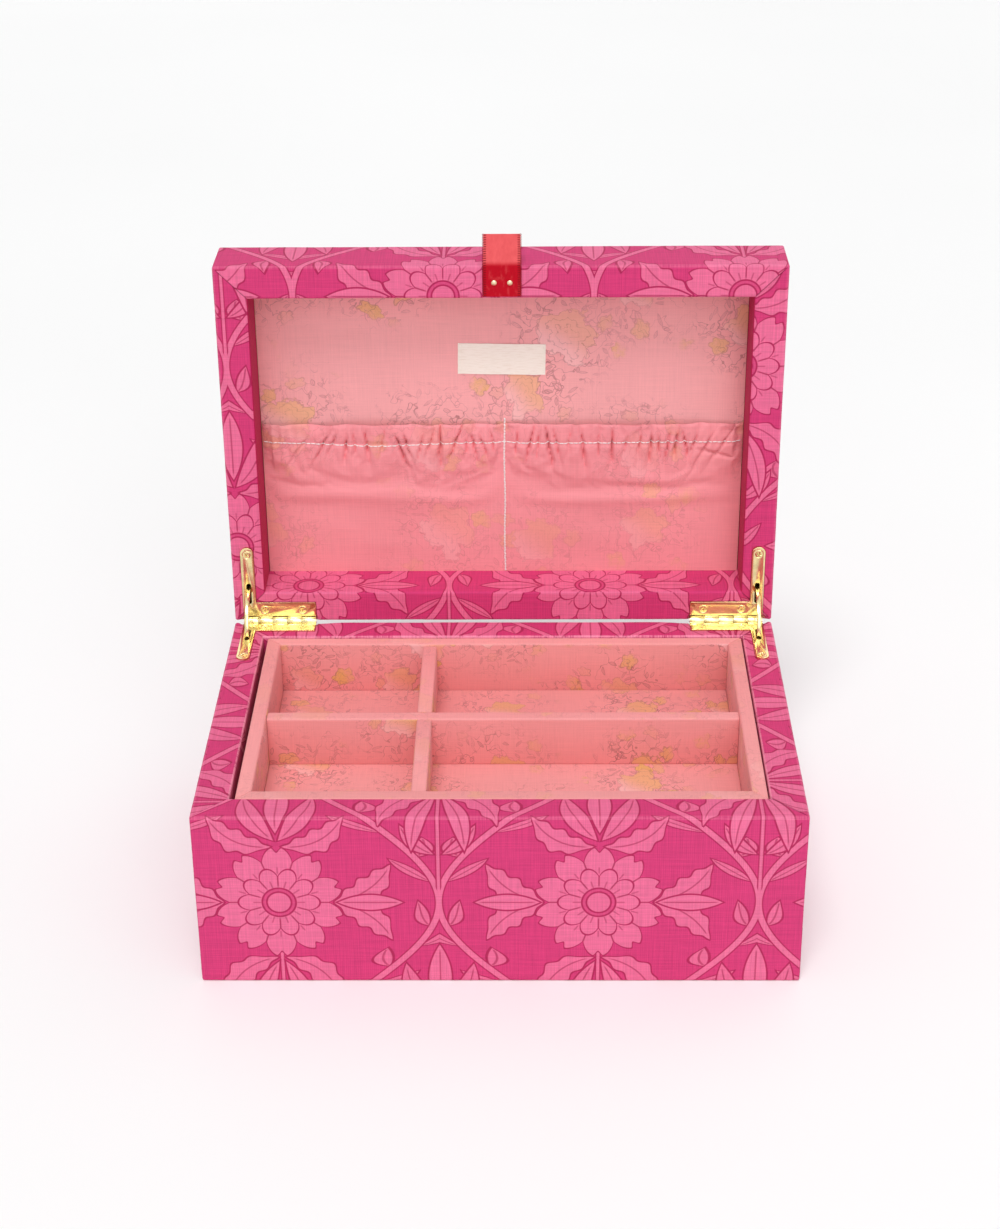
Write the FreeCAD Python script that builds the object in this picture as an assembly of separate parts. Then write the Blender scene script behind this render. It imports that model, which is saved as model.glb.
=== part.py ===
"""Fabric-covered jewelry box with a hinged lid and a lift-out tray.

Millimetres. Origin at the centre of the underside, +X to the right, +Y to the back, +Z up.
The lid is drawn shut and then swung open about the hinge axis, which is how the box stands.
"""
import FreeCAD
import Part
import math
import os

V = FreeCAD.Vector
CENTRE = V(0, 0, 0)
X_AXIS, Y_AXIS, Z_AXIS = V(1, 0, 0), V(0, 1, 0), V(0, 0, 1)
LEFT, RIGHT = -1, 1
WALL_NAMES = ("front", "back", "left", "right")

# Case
box_width = 240.0
box_depth = 165.0
base_height = 77.5
lid_height = 26.5
wall = 14.0              # finished wall, with cloth on both of its faces
fabric = 0.8             # cover cloth and its glue line
edge_bevel = 1.2         # cloth over the outer edges
rim_round = 1.0          # cloth over the inner edges of the rims
lid_gap = 1.4            # between the rims when the lid is down
open_angle = 90.0        # the stays stop the lid here
bottom_board = 4.0
lid_board = 2.5
floor_pad = 1.5
ledge_board = 4.0        # lining boards that the tray stands on
lining_card = 0.8
lining_clearance = 0.2

# Tray
tray_height = 26.0
tray_drop = 0.5          # top of the tray below the rim
tray_gap_left = 2.0      # the loose tray stands nearer to the right
tray_gap_right = 0.6
tray_gap_y = 0.5
tray_wall = 6.2
tray_floor = 3.0
tray_round = 0.9
divider_drop = 1.0       # dividers below the tray's walls
long_divider_y = 0.0
short_divider_x = -32.0

# Hinges
axis_inset = 0.2         # hinge axis in front of the back of the box
leaf_length = 32.4
leaf_reach = 9.0         # from the axis to the front edge of the short plate
leaf_clearance = 0.2     # between the two leaves when shut
leaf_round = 0.8         # plan corner of the short plate
arm_width = 5.8
arm_reach = 36.0
mortise_clearance = 0.15
barrel_radius = 2.0
barrel_clearance = 0.3
pin_radius = 1.0
pin_clearance = 0.05
knuckle_count = 5
knuckle_gap = 0.15

# Hinge screws
screw_radius = 1.0
screw_head_radius = 1.8
screw_head_depth = 0.8
screw_length = 9.0
screw_clearance = 0.05
screw_sides = 12         # drawn with few faces, as it repeats
screw_from_end = 6.0     # inner screw, from the free end of the short plate
screw_from_arm = 3.8     # outer screw, from the edge of the arm
screw_from_tip = 3.4     # arm screw, from the tip of the arm

# Hinge stays
stay_radius = 15.0
stay_depth = 2.8         # across the arc
stay_thickness = 1.6
stay_head_width = 3.6
stay_head_length = 1.8
stay_clearance = 0.25
stay_room = 0.9          # round the stay, in the mortise under the arm
slot_past_stay = 2.1     # slot in the arm beyond the stay
slot_before_stay = 5.1   # and between the stay and the barrel

# Lid pocket
pocket_height = 72.5
pocket_seam = 63.4       # gathering stitch above the pocket's foot
pocket_clearance = 0.3
pocket_sheet = 0.8
pocket_slack = 0.4       # hollow left along the sewn edges
pocket_swell = 1.8       # hollow in the middle of each side
pocket_hem = 3.0         # width sewn down at the foot, the sides and the dividing seam
gather_height = 0.8
foot_gather = 0.15
gathers_per_side = 5
dividing_seam_x = 1.0

# Lid label
label_width = 38.0
label_height = 14.0
label_thickness = 0.4
label_drop = 3.0         # below the middle of the bare lining
label_tilt = 1.0

# Pull tab
tab_x = 0.6
tab_width = 15.5
tab_thickness = 0.8
tab_bend = 2.5
tab_tilt = 40.0
tab_reach = 12.0
nail_spacing = 6.6
nail_radius = 0.5
nail_length = 8.0
nail_head_radius = 1.15
nail_head_height = 0.4
nail_head_crown = 0.8    # flat middle of the head, as a radius

# Places worked out from the sizes above
half_x, half_y = box_width / 2, box_depth / 2
core_x, core_y = half_x - fabric, half_y - fabric
mouth_x, mouth_y = half_x - wall, half_y - wall
inner_x, inner_y = mouth_x + fabric, mouth_y + fabric
board = wall - 2 * fabric
floor_z = fabric + bottom_board
tray_top_z = base_height - tray_drop
ledge_z = tray_top_z - tray_height
lid_rim_z = base_height + lid_gap
lid_top_z = lid_rim_z + lid_height
ceiling_z = lid_top_z - fabric - lid_board
lining_z = ceiling_z - lining_card
axis_y = half_y - axis_inset
axis_z = base_height + lid_gap / 2
AXIS = V(0, axis_y, axis_z)
leaf_top_z = axis_z - leaf_clearance / 2
leaf_thickness = leaf_top_z - base_height + fabric    # the leaves lie on the boards, through the cloth
leaf_under_z = leaf_top_z - leaf_thickness
arm_x = half_x - wall / 2
hinge_outer_x = arm_x + arm_width / 2
hinge_inner_x = hinge_outer_x - leaf_length
arm_tip_y = axis_y - arm_reach
stay_inner = stay_radius - stay_depth / 2
stay_outer = stay_radius + stay_depth / 2
slot_near_y = axis_y - stay_inner + slot_before_stay
slot_far_y = axis_y - stay_outer - slot_past_stay
stay_past = math.degrees(math.asin((leaf_thickness + leaf_clearance / 2 + stay_clearance) / stay_inner))
stay_head = math.degrees(stay_head_length / stay_radius)
stay_swing = math.radians(open_angle / 2 + stay_past + stay_head)
reach_past = wall        # how far a cutting tool runs past the material


def block(x0, x1, y0, y1, z0, z1):
    """A box between two opposite corners, given in any order."""
    low = V(min(x0, x1), min(y0, y1), min(z0, z1))
    return Part.makeBox(abs(x1 - x0), abs(y1 - y0), abs(z1 - z0), low)


def centred(half_width, half_depth, z0, z1):
    return block(-half_width, half_width, -half_depth, half_depth, z0, z1)


def prism(points, height):
    return Part.Face(Part.makePolygon(points + points[:1])).extrude(Z_AXIS * height)


def ring(radius, sides, z):
    """A regular polygon about the z axis."""
    turns = [2 * math.pi * i / sides for i in range(sides)]
    points = [V(radius * math.cos(turn), radius * math.sin(turn), z) for turn in turns]
    return Part.makePolygon(points + points[:1])


def near(a, b):
    return abs(a - b) < 1e-4


def edges_where(shape, test):
    """Edges whose ends and middle all pass the test."""
    def passes(edge):
        middle = edge.valueAt((edge.FirstParameter + edge.LastParameter) / 2)
        return all(test(point) for point in [middle] + [vertex.Point for vertex in edge.Vertexes])
    return [edge for edge in shape.Edges if passes(edge)]


def joined(shape):
    """A boolean result with its flush faces joined, as a bare solid where it is only one."""
    clean = shape.removeSplitter()
    return clean.Solids[0] if len(clean.Solids) == 1 else clean


def cut_by(shape, cutters):
    return joined(shape.cut(list(cutters)))


def both_sides(shape):
    """A right-hand shape and its left-hand twin."""
    return {LEFT: shape.mirror(CENTRE, X_AXIS), RIGHT: shape}


def shut_over(shape):
    """A base hinge shape turned over onto the shut lid."""
    return shape.mirror(AXIS, Z_AXIS)


def swung_open(shape):
    return shape.rotated(AXIS, X_AXIS, -open_angle)


# Case

def cloth_cover(height, sleeve_depth, underside_open):
    """Cloth over a case that stands rim up on z = 0, turned down inside its mouth by sleeve_depth."""
    outside = centred(half_x, half_y, 0, height)
    cover = outside.cut(centred(core_x, core_y, fabric, height - fabric))
    cover = cover.cut(centred(mouth_x, mouth_y, height - fabric, height))
    if underside_open:
        cover = cover.cut(centred(mouth_x, mouth_y, 0, fabric))
    sleeve = centred(inner_x, inner_y, height - sleeve_depth, height - fabric)
    sleeve = sleeve.cut(centred(mouth_x, mouth_y, 0, height))
    cover = joined(cover.fuse(sleeve))
    lip = edges_where(cover, lambda p: near(p.z, height) and abs(p.x) < inner_x and abs(p.y) < inner_y)
    cover = cover.makeFillet(rim_round, lip)
    def outer(p):
        return sum((near(abs(p.x), half_x), near(abs(p.y), half_y), near(p.z, 0), near(p.z, height))) > 1
    return cover.makeChamfer(edge_bevel, edges_where(cover, outer))


def mitred_walls(x0, x1, half_depth, thickness, z0, z1):
    """Four boards that meet in mitres, in the order of WALL_NAMES."""
    outer = [V(x0, -half_depth, z0), V(x1, -half_depth, z0), V(x1, half_depth, z0), V(x0, half_depth, z0)]
    steps = [V(1, 1, 0), V(-1, 1, 0), V(-1, -1, 0), V(1, -1, 0)]
    inner = [corner + step * thickness for corner, step in zip(outer, steps)]
    sides = {"front": (0, 1), "back": (2, 3), "left": (3, 0), "right": (1, 2)}
    return [prism([outer[a], outer[b], inner[b], inner[a]], z1 - z0) for a, b in map(sides.get, WALL_NAMES)]


def base_parts(cutters):
    parts = {"base_cover": cut_by(cloth_cover(base_height, base_height - ledge_z, True), cutters)}
    walls = mitred_walls(-core_x, core_x, core_y, board, floor_z, base_height - fabric)
    linings = mitred_walls(-inner_x, inner_x, inner_y, ledge_board, floor_z, ledge_z)
    for name, wall_board, lining in zip(WALL_NAMES, walls, linings):
        parts[f"base_{name}_wall"] = cut_by(wall_board, cutters)
        parts[f"lining_{name}"] = lining
    parts["base_bottom_board"] = centred(core_x, core_y, fabric, floor_z)
    parts["underside_sheet"] = centred(mouth_x, mouth_y, 0, fabric)
    parts["floor_pad"] = centred(inner_x - ledge_board, inner_y - ledge_board, floor_z, floor_z + floor_pad)
    return parts


# Tray

def round_top(shape, z):
    """Rounds the two long top edges of a tray board."""
    top = edges_where(shape, lambda p: near(p.z, z))
    longest = max(edge.Length for edge in top)
    return shape.makeFillet(tray_round, [edge for edge in top if edge.Length > longest / 2])


def tray_parts():
    left, right = tray_gap_left - mouth_x, mouth_x - tray_gap_right
    back = mouth_y - tray_gap_y
    walls = mitred_walls(left, right, back, tray_wall, ledge_z, tray_top_z)
    parts = {f"tray_{name}_wall": round_top(side, tray_top_z) for name, side in zip(WALL_NAMES, walls)}
    left, right, back = left + tray_wall, right - tray_wall, back - tray_wall
    deck_z, top_z = ledge_z + tray_floor, tray_top_z - divider_drop
    parts["tray_floor"] = block(left, right, -back, back, ledge_z, deck_z)
    y0, y1 = long_divider_y - tray_wall / 2, long_divider_y + tray_wall / 2
    x0, x1 = short_divider_x - tray_wall / 2, short_divider_x + tray_wall / 2
    parts["tray_long_divider"] = round_top(block(left, right, y0, y1, deck_z, top_z), top_z)
    parts["tray_back_divider"] = round_top(block(x0, x1, y1, back, deck_z, top_z), top_z)
    parts["tray_front_divider"] = round_top(block(x0, x1, -back, y0, deck_z, top_z), top_z)
    return parts


# Hinges, drawn as the right-hand one on the base

def axial_cylinder(radius, x0, x1):
    return Part.makeCylinder(radius, x1 - x0, V(x0, axis_y, axis_z), X_AXIS)


def leaf_blank(grow):
    """The plate of a leaf and its long arm, enlarged all round in plan by grow."""
    front_y = axis_y - leaf_reach - grow
    plate = block(hinge_inner_x - grow, hinge_outer_x + grow, axis_y, front_y, leaf_under_z, leaf_top_z)
    corner = edges_where(plate, lambda p: near(p.x, hinge_inner_x - grow) and near(p.y, front_y))
    plate = plate.makeFillet(leaf_round, corner)
    half = arm_width / 2 + grow
    tip_y = arm_tip_y + arm_width / 2
    arm = block(arm_x - half, arm_x + half, axis_y, tip_y, leaf_under_z, leaf_top_z)
    tip = Part.makeCylinder(half, leaf_thickness, V(arm_x, tip_y, leaf_under_z))
    return joined(plate.fuse([arm, tip]))


def screw_places():
    plate_y = axis_y - (barrel_radius + leaf_reach) / 2
    inner = V(hinge_inner_x + screw_from_end, plate_y, leaf_top_z)
    outer = V(hinge_outer_x - arm_width - screw_from_arm, plate_y, leaf_top_z)
    return [inner, outer, V(arm_x, arm_tip_y + screw_from_tip, leaf_top_z)]


def screw(place):
    """A countersunk wood screw that points down."""
    stations = [(screw_head_radius, 0), (screw_radius, screw_head_depth), (screw_radius, screw_length)]
    body = Part.makeLoft([ring(radius, screw_sides, -depth) for radius, depth in stations], True, True)
    body.translate(place)
    return body


def countersink(place):
    """Room in the leaf for a screw's head."""
    top, under = screw_head_radius + screw_clearance, screw_radius + screw_clearance
    return Part.makeCone(top, under, screw_head_depth, place, -Z_AXIS)


def pilot_hole(place):
    """Room in the leaf and the wall for a screw's shank."""
    return Part.makeCylinder(screw_radius + screw_clearance, screw_length + screw_clearance, place, -Z_AXIS)


def arm_slot():
    """The round-ended slot that the stay slides through."""
    half = stay_thickness / 2 + stay_clearance
    near_y, far_y = slot_near_y - half, slot_far_y + half
    ends = [Part.makeCylinder(half, leaf_thickness, V(arm_x, y, leaf_under_z)) for y in (near_y, far_y)]
    return block(arm_x - half, arm_x + half, near_y, far_y, leaf_under_z, leaf_top_z).fuse(ends)


def hinge_leaf(own_knuckles):
    """A leaf with the given knuckles rolled round the pin."""
    past = (hinge_inner_x - reach_past, hinge_outer_x + reach_past)
    room_y = axis_y - barrel_radius - barrel_clearance
    leaf = leaf_blank(0).cut(block(*past, room_y, axis_y, leaf_under_z, leaf_top_z))
    pitch = leaf_length / knuckle_count
    for index in own_knuckles:
        x0 = hinge_inner_x + index * pitch + knuckle_gap / 2
        x1 = x0 + pitch - knuckle_gap
        root = block(x0, x1, room_y - barrel_clearance, axis_y, leaf_under_z, leaf_top_z)
        leaf = leaf.fuse([root, axial_cylinder(barrel_radius, x0, x1)])
    holes = [make(place) for place in screw_places() for make in (countersink, pilot_hole)]
    return cut_by(leaf, holes + [arm_slot(), axial_cylinder(pin_radius + pin_clearance, *past)])


def arc_band(width, start, end):
    """Part of the stay's arc about the axis, in degrees from +Y towards +Z."""
    half = width / 2
    rows = [(arm_x - half, stay_inner), (arm_x + half, stay_inner), (arm_x + half, stay_outer),
            (arm_x - half, stay_outer)]
    corners = [V(x, axis_y + radius, axis_z) for x, radius in rows]
    section = Part.Face(Part.makePolygon(corners + corners[:1]))
    return section.rotated(AXIS, X_AXIS, start).revolve(AXIS, X_AXIS, end - start)


def hinge_stay():
    """The curved stay, with a wide head behind each arm that stops the lid."""
    base_end = 180 + stay_past + stay_head
    lid_end = 180 - open_angle - stay_past - stay_head
    heads = [arc_band(stay_head_width, lid_end, lid_end + stay_head),
             arc_band(stay_head_width, base_end - stay_head, base_end)]
    return joined(arc_band(stay_thickness, lid_end, base_end).fuse(heads))


def stay_mortise():
    """Room in the wall under the arm for the stay when the lid is shut."""
    half = stay_head_width / 2 + stay_room
    near_y = axis_y - stay_inner * math.cos(stay_swing) + stay_room
    return block(arm_x - half, arm_x + half, near_y, slot_far_y,
                 axis_z - stay_outer - stay_room, leaf_under_z)


def hinge_mortise():
    """All that the hinge needs cut from the rim."""
    barrel = axial_cylinder(barrel_radius + barrel_clearance, hinge_inner_x - barrel_clearance,
                            hinge_outer_x + barrel_clearance)
    pilots = [pilot_hole(place) for place in screw_places()]
    return leaf_blank(mortise_clearance).fuse(pilots + [barrel, stay_mortise()])


# Lid furnishings, drawn with the lid shut

def pocket_wire(y, x0, x1, edge, swell, crest, arcs):
    """A section of one side of the pocket at y: flat on the lining, the other side a row of arcs that swells."""
    def depth(x):
        share = (x - x0) / (x1 - x0)
        return lining_z - edge - 4 * swell * share * (1 - share)
    stops = [x0 + i * (x1 - x0) / arcs for i in range(arcs + 1)]
    edges = []
    for a, b in zip(stops, stops[1:]):
        middle = (a + b) / 2
        arc = Part.Arc(V(a, y, depth(a)), V(middle, y, depth(middle) - crest), V(b, y, depth(b)))
        edges.append(arc.toShape())
    corners = [V(x1, y, depth(x1)), V(x1, y, lining_z), V(x0, y, lining_z), V(x0, y, depth(x0))]
    edges += [Part.LineSegment(*corners[i:i + 2]).toShape() for i in range(len(corners) - 1)]
    return Part.Wire(edges)


def gathered_side(x0, x1):
    """One side of the pocket, gathered most at its seam and hem."""
    edge = pocket_sheet + pocket_slack
    rows = [(0, 0, foot_gather), (pocket_seam, pocket_swell, gather_height),
            (pocket_height, pocket_swell, gather_height)]
    wires = [pocket_wire(mouth_y - along, x0, x1, edge, swell, crest, gathers_per_side)
             for along, swell, crest in rows]
    return Part.makeLoft(wires, True, True)


def pocket_hollow(x0, x1):
    """The room behind one side of the pocket, open at the hem."""
    x0, x1 = x0 + pocket_hem, x1 - pocket_hem
    rows = [(pocket_hem, foot_gather), (pocket_seam, pocket_swell), (pocket_height, pocket_swell)]
    wires = [pocket_wire(mouth_y - along, x0, x1, pocket_slack, 0, swell, 1) for along, swell in rows]
    return Part.makeLoft(wires, True, True)


def pocket():
    """Two gathered sides that share the dividing seam, hollow behind and open at the hem."""
    left, right = pocket_clearance - mouth_x, mouth_x - pocket_clearance
    sides = [(left, dividing_seam_x), (dividing_seam_x, right)]
    sheet = gathered_side(*sides[0]).fuse(gathered_side(*sides[1]))
    return cut_by(sheet, [pocket_hollow(*side) for side in sides])


def label():
    y = -pocket_height / 2 + label_drop
    plate = block(-label_width / 2, label_width / 2, y - label_height / 2, y + label_height / 2,
                  lining_z - label_thickness, lining_z)
    return plate.rotated(V(0, y, 0), Z_AXIS, -label_tilt)


def tab_wire():
    """Side view of the ribbon: flat under the rim, round the front edge, then out and up."""
    tilt = math.radians(tab_tilt)
    centre = V(0, -half_y, lid_rim_z + tab_bend)
    out = V(0, -math.cos(tilt), math.sin(tilt))
    def on_bend(radius, angle):
        return centre + V(0, -math.sin(angle), -math.cos(angle)) * radius
    top, under = tab_bend, tab_bend + tab_thickness
    start_y = -mouth_y - rim_round
    top_end, under_end = on_bend(top, tilt) + out * tab_reach, on_bend(under, tilt) + out * tab_reach
    tip = (top_end + under_end) / 2 + out * (tab_thickness / 2)
    start_top, start_under = V(0, start_y, lid_rim_z), V(0, start_y, lid_rim_z - tab_thickness)
    edges = [Part.LineSegment(start_top, start_under), Part.LineSegment(start_under, on_bend(under, 0)),
             Part.Arc(on_bend(under, 0), on_bend(under, tilt / 2), on_bend(under, tilt)),
             Part.LineSegment(on_bend(under, tilt), under_end), Part.Arc(under_end, tip, top_end),
             Part.LineSegment(top_end, on_bend(top, tilt)),
             Part.Arc(on_bend(top, tilt), on_bend(top, tilt / 2), on_bend(top, 0)),
             Part.LineSegment(on_bend(top, 0), start_top)]
    return Part.Wire([edge.toShape() for edge in edges])


def pull_tab(nails):
    ribbon = Part.Face(tab_wire()).extrude(X_AXIS * tab_width)
    ribbon.translate(V(tab_x - tab_width / 2, 0, 0))
    return cut_by(ribbon, nails)


def nail(side):
    """A round-headed nail driven up through the ribbon into the lid's front wall."""
    place = V(tab_x + side * nail_spacing / 2, -(mouth_y + half_y) / 2, lid_rim_z - tab_thickness)
    outline = [V(0, 0, -nail_head_height), V(nail_head_crown, 0, -nail_head_height), V(nail_head_radius, 0, 0),
               V(nail_radius, 0, 0), V(nail_radius, 0, nail_length), V(0, 0, nail_length)]
    body = Part.Face(Part.makePolygon(outline + outline[:1])).revolve(CENTRE, Z_AXIS, 360)
    body.translate(place)
    return body


def lid_parts(cutters):
    nails = [nail(LEFT), nail(RIGHT)]
    cover = cloth_cover(lid_height, ceiling_z - lid_rim_z, False).rotated(CENTRE, X_AXIS, 180)
    cover.translate(V(0, 0, lid_top_z))
    parts = {"lid_cover": cut_by(cover, cutters + nails)}
    walls = mitred_walls(-core_x, core_x, core_y, board, lid_rim_z + fabric, ceiling_z)
    for name, wall_board in zip(WALL_NAMES, walls):
        parts[f"lid_{name}_wall"] = cut_by(wall_board, cutters + nails)
    parts["lid_top_board"] = centred(core_x, core_y, ceiling_z, lid_top_z - fabric)
    parts["lid_lining"] = centred(mouth_x - lining_clearance, mouth_y - lining_clearance, lining_z, ceiling_z)
    parts["lid_pocket"] = pocket()
    parts["lid_label"] = label()
    parts["pull_tab"] = pull_tab(nails)
    parts["tab_nails"] = Part.makeCompound(nails)
    return parts


mortises = both_sides(hinge_mortise()).values()
screws = Part.makeCompound([twin for place in screw_places() for twin in both_sides(screw(place)).values()])
base_leaves = both_sides(hinge_leaf(range(0, knuckle_count, 2)))
lid_leaves = both_sides(shut_over(hinge_leaf(range(1, knuckle_count, 2))))
pins = both_sides(axial_cylinder(pin_radius, hinge_inner_x, hinge_outer_x))
stays = both_sides(hinge_stay())

standing = {**base_parts(mortises), **tray_parts()}
swinging = lid_parts([shut_over(mortise) for mortise in mortises])
standing["base_hinge_screws"] = screws
swinging["lid_hinge_screws"] = shut_over(screws)
for name, side in (("left", LEFT), ("right", RIGHT)):
    standing[f"{name}_base_leaf"] = base_leaves[side]
    standing[f"{name}_hinge_pin"] = pins[side]
    standing[f"{name}_hinge_stay"] = stays[side]
    swinging[f"{name}_lid_leaf"] = lid_leaves[side]

parts = {**standing, **{name: swung_open(shape) for name, shape in swinging.items()}}
os.makedirs("parts", exist_ok=True)
for name, shape in sorted(parts.items()):
    shape.exportStep(f"parts/{name}.step")
    print(f"{name}: {len(shape.Solids)} solids, valid {shape.isValid()}, {shape.Volume:.1f} mm3")
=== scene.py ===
import bmesh
import bpy
from math import cos, exp, hypot, pi, radians, sin, tau
from mathutils import Matrix, Vector, noise
from mathutils.bvhtree import BVHTree


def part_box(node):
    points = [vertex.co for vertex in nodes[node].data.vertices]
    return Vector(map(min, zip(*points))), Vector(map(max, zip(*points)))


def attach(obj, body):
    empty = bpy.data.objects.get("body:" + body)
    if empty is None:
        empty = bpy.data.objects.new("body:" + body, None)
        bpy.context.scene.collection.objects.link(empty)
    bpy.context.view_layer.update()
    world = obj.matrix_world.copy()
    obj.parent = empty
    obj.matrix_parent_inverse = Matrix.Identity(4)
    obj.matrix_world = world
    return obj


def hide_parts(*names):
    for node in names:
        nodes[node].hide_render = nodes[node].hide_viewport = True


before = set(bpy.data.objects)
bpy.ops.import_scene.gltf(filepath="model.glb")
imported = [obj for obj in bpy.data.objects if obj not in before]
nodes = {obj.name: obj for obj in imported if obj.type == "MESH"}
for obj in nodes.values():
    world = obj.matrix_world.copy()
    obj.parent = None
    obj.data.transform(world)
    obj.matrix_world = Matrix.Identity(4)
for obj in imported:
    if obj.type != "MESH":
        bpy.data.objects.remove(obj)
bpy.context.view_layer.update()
mm = 0.001


def boxOf(node):
    # A node's box in millimetres
    low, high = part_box(node)
    return low / mm, high / mm


# The case in its shut position: depths in the open lid are heights above the hinge axis
pinLow, pinHigh = boxOf("left_hinge_pin")
outside = boxOf("base_cover")[1]
boardLow, boardHigh = boxOf("base_front_wall")
lidLow, lidHigh = boxOf("lid_cover")
axisY, axisZ = (pinLow.y + pinHigh.y) / 2, (pinLow.z + pinHigh.z) / 2
case = {"halfX": outside.x, "halfY": outside.y, "baseTop": outside.z, "ledge": boxOf("lining_front")[1].z,
        "wall": 2 * outside.y + boardLow.y + boardHigh.y, "axisY": axisY, "axisZ": axisZ,
        "lidRim": axisZ - axisY + lidLow.y, "lidTop": axisZ - axisY + lidHigh.y,
        "ceiling": axisZ - axisY + boxOf("lid_lining")[1].y}
case = {name: round(size, 2) for name, size in case.items()}
axis = Vector((0, case["axisY"], case["axisZ"]))
opened = Matrix.Translation(axis) @ Matrix.Rotation(radians(-90), 4, "X") @ Matrix.Translation(-axis)


class Sock:
    # A shader socket that can be reckoned with
    def __init__(self, net, socket):
        self.net = net
        self.socket = socket

    def math(self, kind, *values):
        return self.net.node("ShaderNodeMath", {"operation": kind}, dict(enumerate(values)))

    def __add__(self, other):
        return self.math("ADD", self, other)

    def __sub__(self, other):
        return self.math("SUBTRACT", self, other)

    def __rsub__(self, other):
        return self.math("SUBTRACT", other, self)

    def __mul__(self, other):
        return self.math("MULTIPLY", self, other)

    def __truediv__(self, other):
        return self.math("DIVIDE", self, other)

    def __rtruediv__(self, other):
        return self.math("DIVIDE", other, self)

    __radd__ = __add__
    __rmul__ = __mul__

    def wrap(self, low, high):
        return self.math("WRAP", self, high, low)

    def fade(self, start, end):
        # 0 at start, 1 at end, eased
        return self.net.node("ShaderNodeMapRange", {"interpolation_type": "SMOOTHSTEP"},
                             {"Value": self, "From Min": start, "From Max": end})

    def of(self, output):
        return Sock(self.net, self.socket.node.outputs[output])

    def parts(self):
        split = self.net.node("ShaderNodeSeparateXYZ", {}, {0: self})
        return split, split.of(1), split.of(2)


# Functions that differ in their operation alone
functions = {"abs": "ABSOLUTE", "sin": "SINE", "cos": "COSINE", "sqrt": "SQRT", "sign": "SIGN",
             "min": "MINIMUM", "max": "MAXIMUM", "above": "GREATER_THAN", "atan2": "ARCTAN2"}
for method, operation in functions.items():
    setattr(Sock, method, lambda self, *others, kind=operation: self.math(kind, self, *others))


class Net:
    # The node tree of a material or of the world
    def __init__(self, owner):
        self.owner = bpy.data.materials.new(owner) if isinstance(owner, str) else owner
        self.owner.use_nodes = True
        self.tree = self.owner.node_tree
        self.tree.nodes.clear()

    def node(self, kind, settings, values, out=0):
        made = self.tree.nodes.new(kind)
        for key, value in settings.items():
            setattr(made, key, value)
        for key, value in values.items():
            if isinstance(value, Sock):
                self.tree.links.new(value.socket, made.inputs[key])
            else:
                made.inputs[key].default_value = value
        return Sock(self, made.outputs[out]) if len(made.outputs) else None

    def place(self):
        # Object coordinates in millimetres
        spot = self.node("ShaderNodeTexCoord", {}, {}, "Object")
        return self.node("ShaderNodeVectorMath", {"operation": "SCALE"}, {0: spot, "Scale": 1 / mm}).parts()

    def normal(self):
        return self.node("ShaderNodeNewGeometry", {}, {}, "Normal").parts()

    def vector(self, x, y, z=0.0):
        return self.node("ShaderNodeCombineXYZ", {}, {0: x, 1: y, 2: z})

    def noise(self, vector, scale, detail=2.0, rough=0.5, dims="3D"):
        return self.node("ShaderNodeTexNoise", {"noise_dimensions": dims},
                         {"Vector": vector, "Scale": scale, "Detail": detail, "Roughness": rough})

    def cells(self, vector, scale, spread):
        return self.node("ShaderNodeTexVoronoi", {"voronoi_dimensions": "2D"},
                         {"Vector": vector, "Scale": scale, "Randomness": spread})

    def mix(self, share, first, second, blend="MIX"):
        return self.node("ShaderNodeMix", {"data_type": "RGBA", "blend_type": blend},
                         {0: share, 6: first, 7: second}, 2)

    def shade(self, colour, amount):
        grey = self.node("ShaderNodeCombineColor", {}, {0: amount, 1: amount, 2: amount})
        return self.mix(1.0, colour, grey, "MULTIPLY")

    def weave(self, u, v, slow, quick):
        # Threads of uneven thickness, both ways
        warp = self.noise(self.vector(u * slow, v * quick), 1.0, 2.0, 0.6, "2D")
        weft = self.noise(self.vector(u * quick, v * slow), 1.0, 2.0, 0.6, "2D")
        return warp + weft

    def bump(self, height, strength, distance):
        return self.node("ShaderNodeBump", {}, {"Strength": strength, "Distance": distance, "Height": height})

    def done(self, colour, rough, bump, metal=0.0, spec=0.5, sheen=0.0, sheenRough=0.5):
        values = {"Base Color": colour, "Roughness": rough, "Metallic": metal, "Specular IOR Level": spec,
                  "Sheen Weight": sheen, "Sheen Roughness": sheenRough}
        if bump:
            values["Normal"] = self.bump(*bump)
        shader = self.node("ShaderNodeBsdfPrincipled", {}, values)
        self.node("ShaderNodeOutputMaterial", {}, {"Surface": shader})
        return self.owner


def tint(red, green, blue):
    # 0 to 255 as seen on screen, to a linear colour
    def linear(value):
        value /= 255
        return value / 12.92 if value < 0.04045 else ((value + 0.055) / 1.055) ** 2.4
    return (linear(red), linear(green), linear(blue), 1.0)


def blend(first, second, share):
    return first + (second - first) * share


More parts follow.
